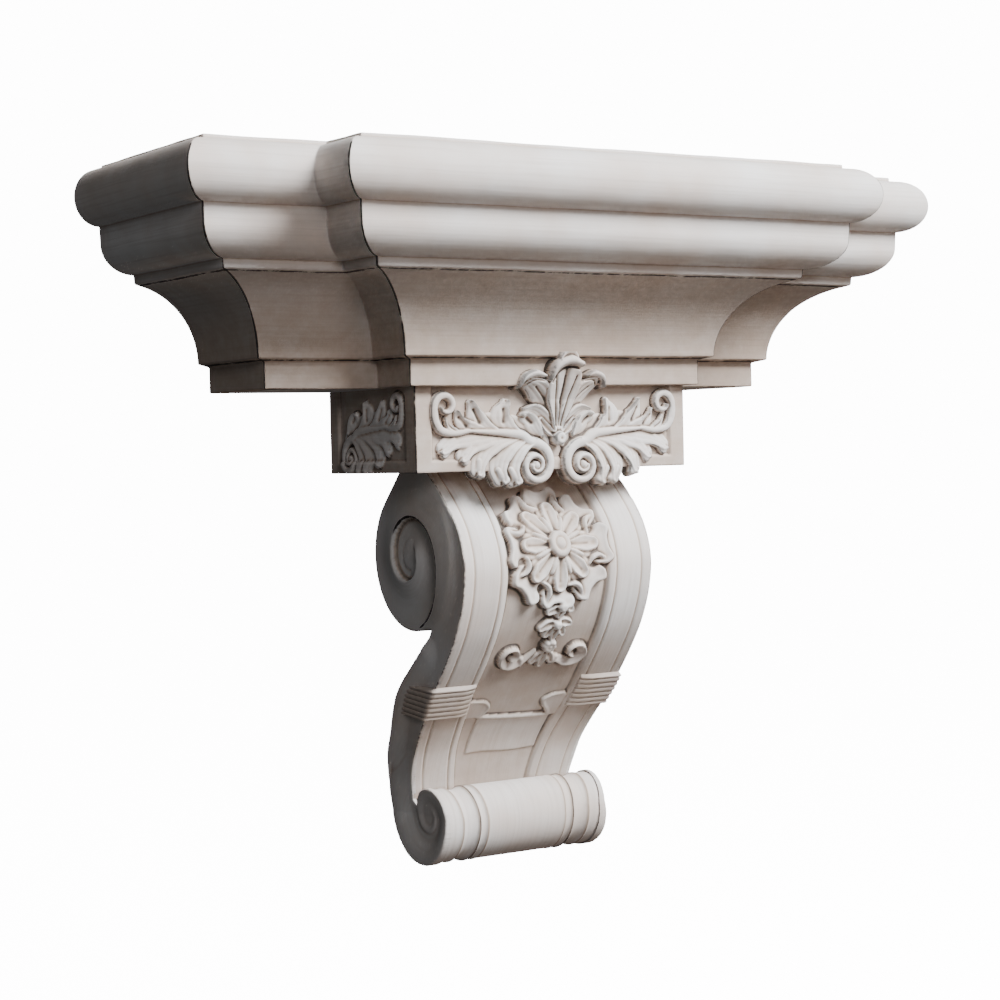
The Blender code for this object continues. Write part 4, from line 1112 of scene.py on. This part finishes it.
def console_side(side):
    """One side of the console: a grid cut to its outline, its rims, and a skirt turned in at its edge."""
    step = 0.00068
    skirt_depth = 0.003
    outline = side_outline()
    low = outline.min(axis=0) - step
    high = outline.max(axis=0) + step
    yy, zz = np.meshgrid(np.arange(low[0], high[0] + step, step), np.arange(low[1], high[1] + step, step))
    shape = yy.shape
    flat = np.stack([yy.ravel(), zz.ravel()], axis=1)
    inside = inside_polygon(flat, outline)
    gap, nearest = gaps_to(outline, flat)
    on_rim = ~inside & (gap < step * 0.85)
    flat = np.where(on_rim[:, None], nearest, flat)
    keep = inside | on_rim
    y, z = flat[:, 0].reshape(shape), flat[:, 1].reshape(shape)
    upper, lower, in_scroll, line = side_relief(y, z)
    band = np.full(shape, 1.0)
    near_band = (z < -0.172) & (z > -0.30)
    y_near, z_near = y[near_band], z[near_band]
    band[near_band] = np.min([np.hypot(y_near - by, z_near - bz) for by, bz in back_curve(300)[::3]], axis=0)
    along_back = 4.0 * (1 - smoothstep(0.001, 0.019, band)) * smoothstep(-0.168, -0.185, z)
    volute = upper * smoothstep(-0.182, -0.172, z)
    surface = blurred(np.maximum.reduce([volute, lower * in_scroll, along_back * (1 - in_scroll)]), 0.9)
    gap_mm = np.where(inside, gap, np.where(on_rim, 0.0, 1.0)).reshape(shape) / MM
    surface = surface - 0.6 * np.clip(1 - gap_mm / 1.1, 0, 1) ** 2
    on_foot = smoothstep(-0.255, -0.270, z)
    # Hollows by the rims painted dark: glazing and painted shade.
    glaze_and_shade = 0.8 * cavity(surface, step / MM, 1.6, 1.0)
    glaze_and_shade = np.where(gap_mm < 1.8, glaze_and_shade * (0.5 - 0.4 * on_foot), glaze_and_shade)
    # Rubbed dark along the edge, plus a thin line of painted shade at the volute's step.
    rub_and_shade = np.maximum((0.45 - 0.35 * on_foot) * bell(gap_mm, 0.6), 0.95 * line)
    rub_and_shade = np.maximum(rub_and_shade, 0.3 * crest(surface, step / MM, 1.0, 0.35) * (gap_mm > 2.0))
    x = side * (half_width(z) + surface * MM)
    quads = grid_faces(*shape, flip=side < 0)
    quads = quads[keep[quads].all(axis=1)]
    verts = np.stack([x.ravel(), np.minimum(y.ravel(), 0.0), z.ravel()], axis=1)
    edges = np.concatenate([quads[:, [k, (k + 1) % 4]] for k in range(4)])
    _, first, count = np.unique(np.sort(edges, axis=1), axis=0, return_index=True, return_counts=True)
    start, end = edges[first[count == 1]].T
    rim = start[gap[start] < 1.5 * step]
    verts[rim, 1:] = np.minimum(nearest[rim], (0.0, 1.0))
    within = verts.copy()
    within[:, 0] = side * (half_width(verts[:, 2]) - skirt_depth)
    skirt = np.stack([end, start, start + len(verts), end + len(verts)], axis=1)
    verts = np.concatenate([verts, within])
    glaze_and_shade = np.concatenate([glaze_and_shade.ravel(), np.zeros(glaze_and_shade.size)])
    rub_and_shade = np.concatenate([rub_and_shade.ravel(), np.zeros(rub_and_shade.size)])
    names, quads = np.unique(np.concatenate([quads, skirt]), return_inverse=True)
    label = "left" if side < 0 else "right"
    quads = quads.reshape(-1, 4)
    finish_piece(f"console_side_{label}", verts[names], quads, CONSOLE_PAINT, glaze_and_shade[names], rub_and_shade[names], 50)


def straps():
    """A reeded strap round each border, from the sunk panel over the front, side and back."""
    front_count, back_count = 1600, 800
    reeds, rows_per_reed = 7, 12
    soft, curl, corner = 0.0016, 0.0035, 0.0045
    front = front_curve(front_count)
    back = back_curve(back_count)
    front_out = offset_curve(front, 1.0) - front
    back_out = back - offset_curve(back, 1.0)
    total = length_of(front)
    first = (STRAP_DROP - STRAP_WIDTH / 2) / total * front_count
    span = STRAP_WIDTH / total * front_count
    quarter = [t * math.pi / 2 for t in np.linspace(0.1, 1, 7)]
    arris = slice(22, 25)
    for side in (-1, 1):
        rows = []
        glaze_and_shade = []
        for share in np.linspace(0.0, 1.0, reeds * rows_per_reed + 1):
            reed = math.sin(math.pi * ((share * reeds) % 1.0)) ** 0.55
            end = min(1.0, 2 * reeds * min(share, 1 - share))
            proud = (0.0018 + 0.0009 * reed) * (0.1 + 0.9 * end)
            k = int(round(first + share * span))
            rear = int(round(back_count * (STRAP_BACK_START + STRAP_BACK_SPAN * share)))
            ahead = front[k] + front_out[k] * proud
            behind = back[rear] + back_out[rear] * proud
            sunk = front[k] - front_out[k] * 0.005
            reach = np.linalg.norm(behind - ahead)
            lean = (behind - ahead) / reach
            x = half_width(front[k][1])
            inner, outer = x - 0.0350, x + proud
            ring = [(inner, sunk)]
            for a in np.linspace(0, 1, 5) * math.pi / 2:
                rise = (ahead - sunk) * (0.55 + 0.25 * math.sin(a))
                ring.append((inner + soft * (1 - math.cos(a)), sunk + rise))
            for u in np.linspace(inner + 0.003, outer - curl, 14):
                near_end = min(1.0, (u - inner) / 0.009) ** 0.5
                ring.append((u, front[k] + front_out[k] * proud * near_end))
            for a in quarter:
                ring.append((outer - curl + curl * math.sin(a), ahead + lean * curl * (1 - math.cos(a))))
            for v in np.linspace(corner, reach - corner, 16):
                ring.append((outer, ahead + lean * v))
            for a in quarter:
                ring.append((outer - curl * (1 - math.cos(a)), behind - lean * curl * (1 - math.sin(a))))
            for u in np.linspace(outer - 0.005, inner, 10):
                ring.append((u, behind))
            rows.append([(side * a, min(b[0], 0.0), b[1]) for a, b in ring])
            # The grooves between the reeds are painted dark, and the strap a little all over: glazing and
            # painted shade.
            glaze_and_shade.append([max(0.26, 0.85 * (1 - reed * 1.5))] * len(ring))
        points = np.array(rows)
        rub_and_shade = np.zeros(points.shape[:2])
        rub_and_shade[:, arris] = 0.20
        label = "left" if side < 0 else "right"
        finish_grid(f"strap_{label}", points, FRIEZE_PAINT, np.array(glaze_and_shade), rub_and_shade, flip=side > 0)


shelf()
shelf_core()
frieze()
frieze_carving()
palmette()
console_front()
console_roll()
console_back()
console_side(-1)
console_side(1)
straps()


# Floor, light and camera


def studio():
    """A floor and a backdrop that print white, a cool key, a warm light from below and a grazing one."""
    backdrop = 14.0
    bpy.ops.mesh.primitive_plane_add(size=50.0, location=(0, 0, -0.62))
    floor = bpy.context.object
    floor.name = "floor"
    paper = bpy.data.materials.new("pale_paper")
    paper.use_nodes = True
    shader = paper.node_tree.nodes["Principled BSDF"]
    shader.inputs["Base Color"].default_value = (0.9, 0.9, 0.9, 1)
    shader.inputs["Roughness"].default_value = 0.9
    shader.inputs["Emission Color"].default_value = (1, 1, 1, 1)
    shader.inputs["Emission Strength"].default_value = backdrop
    floor.data.materials.append(paper)
    floor.visible_diffuse = False
    floor.visible_glossy = False
    floor.visible_shadow = False

    def area(name, place, target, size, power, colour):
        data = bpy.data.lights.new(name, "AREA")
        data.shape = "RECTANGLE"
        data.size, data.size_y = size
        data.energy = power
        data.color = colour
        lamp = bpy.data.objects.new(name, data)
        lamp.location = place
        lamp.rotation_euler = (Vector(target) - Vector(place)).to_track_quat("-Z", "Y").to_euler()
        bpy.context.scene.collection.objects.link(lamp)

    area("key", (0.78, -1.75, 1.50), (0, -0.12, 0.0), (1.5, 1.0), 174, (0.97, 0.985, 1.0))
    area("warm_below", (1.1, -1.7, -1.3), (0, -0.1, -0.05), (1.5, 1.2), 6.5, (1.0, 0.72, 0.54))
    area("grazing", (-0.75, -2.3, 0.5), (0, -0.1, -0.1), (0.5, 0.5), 11, (0.98, 0.98, 1.0))
    world = bpy.data.worlds.new("studio")
    bpy.context.scene.world = world
    world.use_nodes = True
    tree = world.node_tree
    tree.nodes.clear()
    out = node(tree, "ShaderNodeOutputWorld")
    seen = node(tree, "ShaderNodeBackground", Color=(1, 1, 1, 1), Strength=backdrop)
    light = node(tree, "ShaderNodeBackground", Color=(0.95, 0.97, 1.0, 1), Strength=0.055)
    path = node(tree, "ShaderNodeLightPath")
    mix = node(tree, "ShaderNodeMixShader")
    tree.links.new(path.outputs["Is Camera Ray"], mix.inputs[0])
    tree.links.new(light.outputs[0], mix.inputs[1])
    tree.links.new(seen.outputs[0], mix.inputs[2])
    tree.links.new(mix.outputs[0], out.inputs[0])


def camera():
    """The camera that fits the photograph's straight edges."""
    place = (-0.8653, -1.3850, -0.0449)
    yaw, pitch, roll = (math.radians(v) for v in (-32.88, -1.30, 1.39))
    turn = Matrix.Rotation(yaw, 3, "Z") @ Matrix.Rotation(pitch, 3, "X")
    rolled = Matrix(((math.cos(roll), 0, math.sin(roll)), (0, 1, 0), (-math.sin(roll), 0, math.cos(roll))))
    axes = turn @ rolled
    right, ahead, up = axes.col
    data = bpy.data.cameras.new("camera")
    data.lens = 78.12
    data.sensor_width = 36.0
    data.sensor_fit = "HORIZONTAL"
    data.clip_start = 0.05
    data.clip_end = 30.0
    made = bpy.data.objects.new("camera", data)
    rows = [(right[k], up[k], -ahead[k], place[k]) for k in range(3)]
    made.matrix_world = Matrix(rows + [(0, 0, 0, 1)])
    bpy.context.scene.collection.objects.link(made)
    bpy.context.scene.camera = made


studio()
camera()
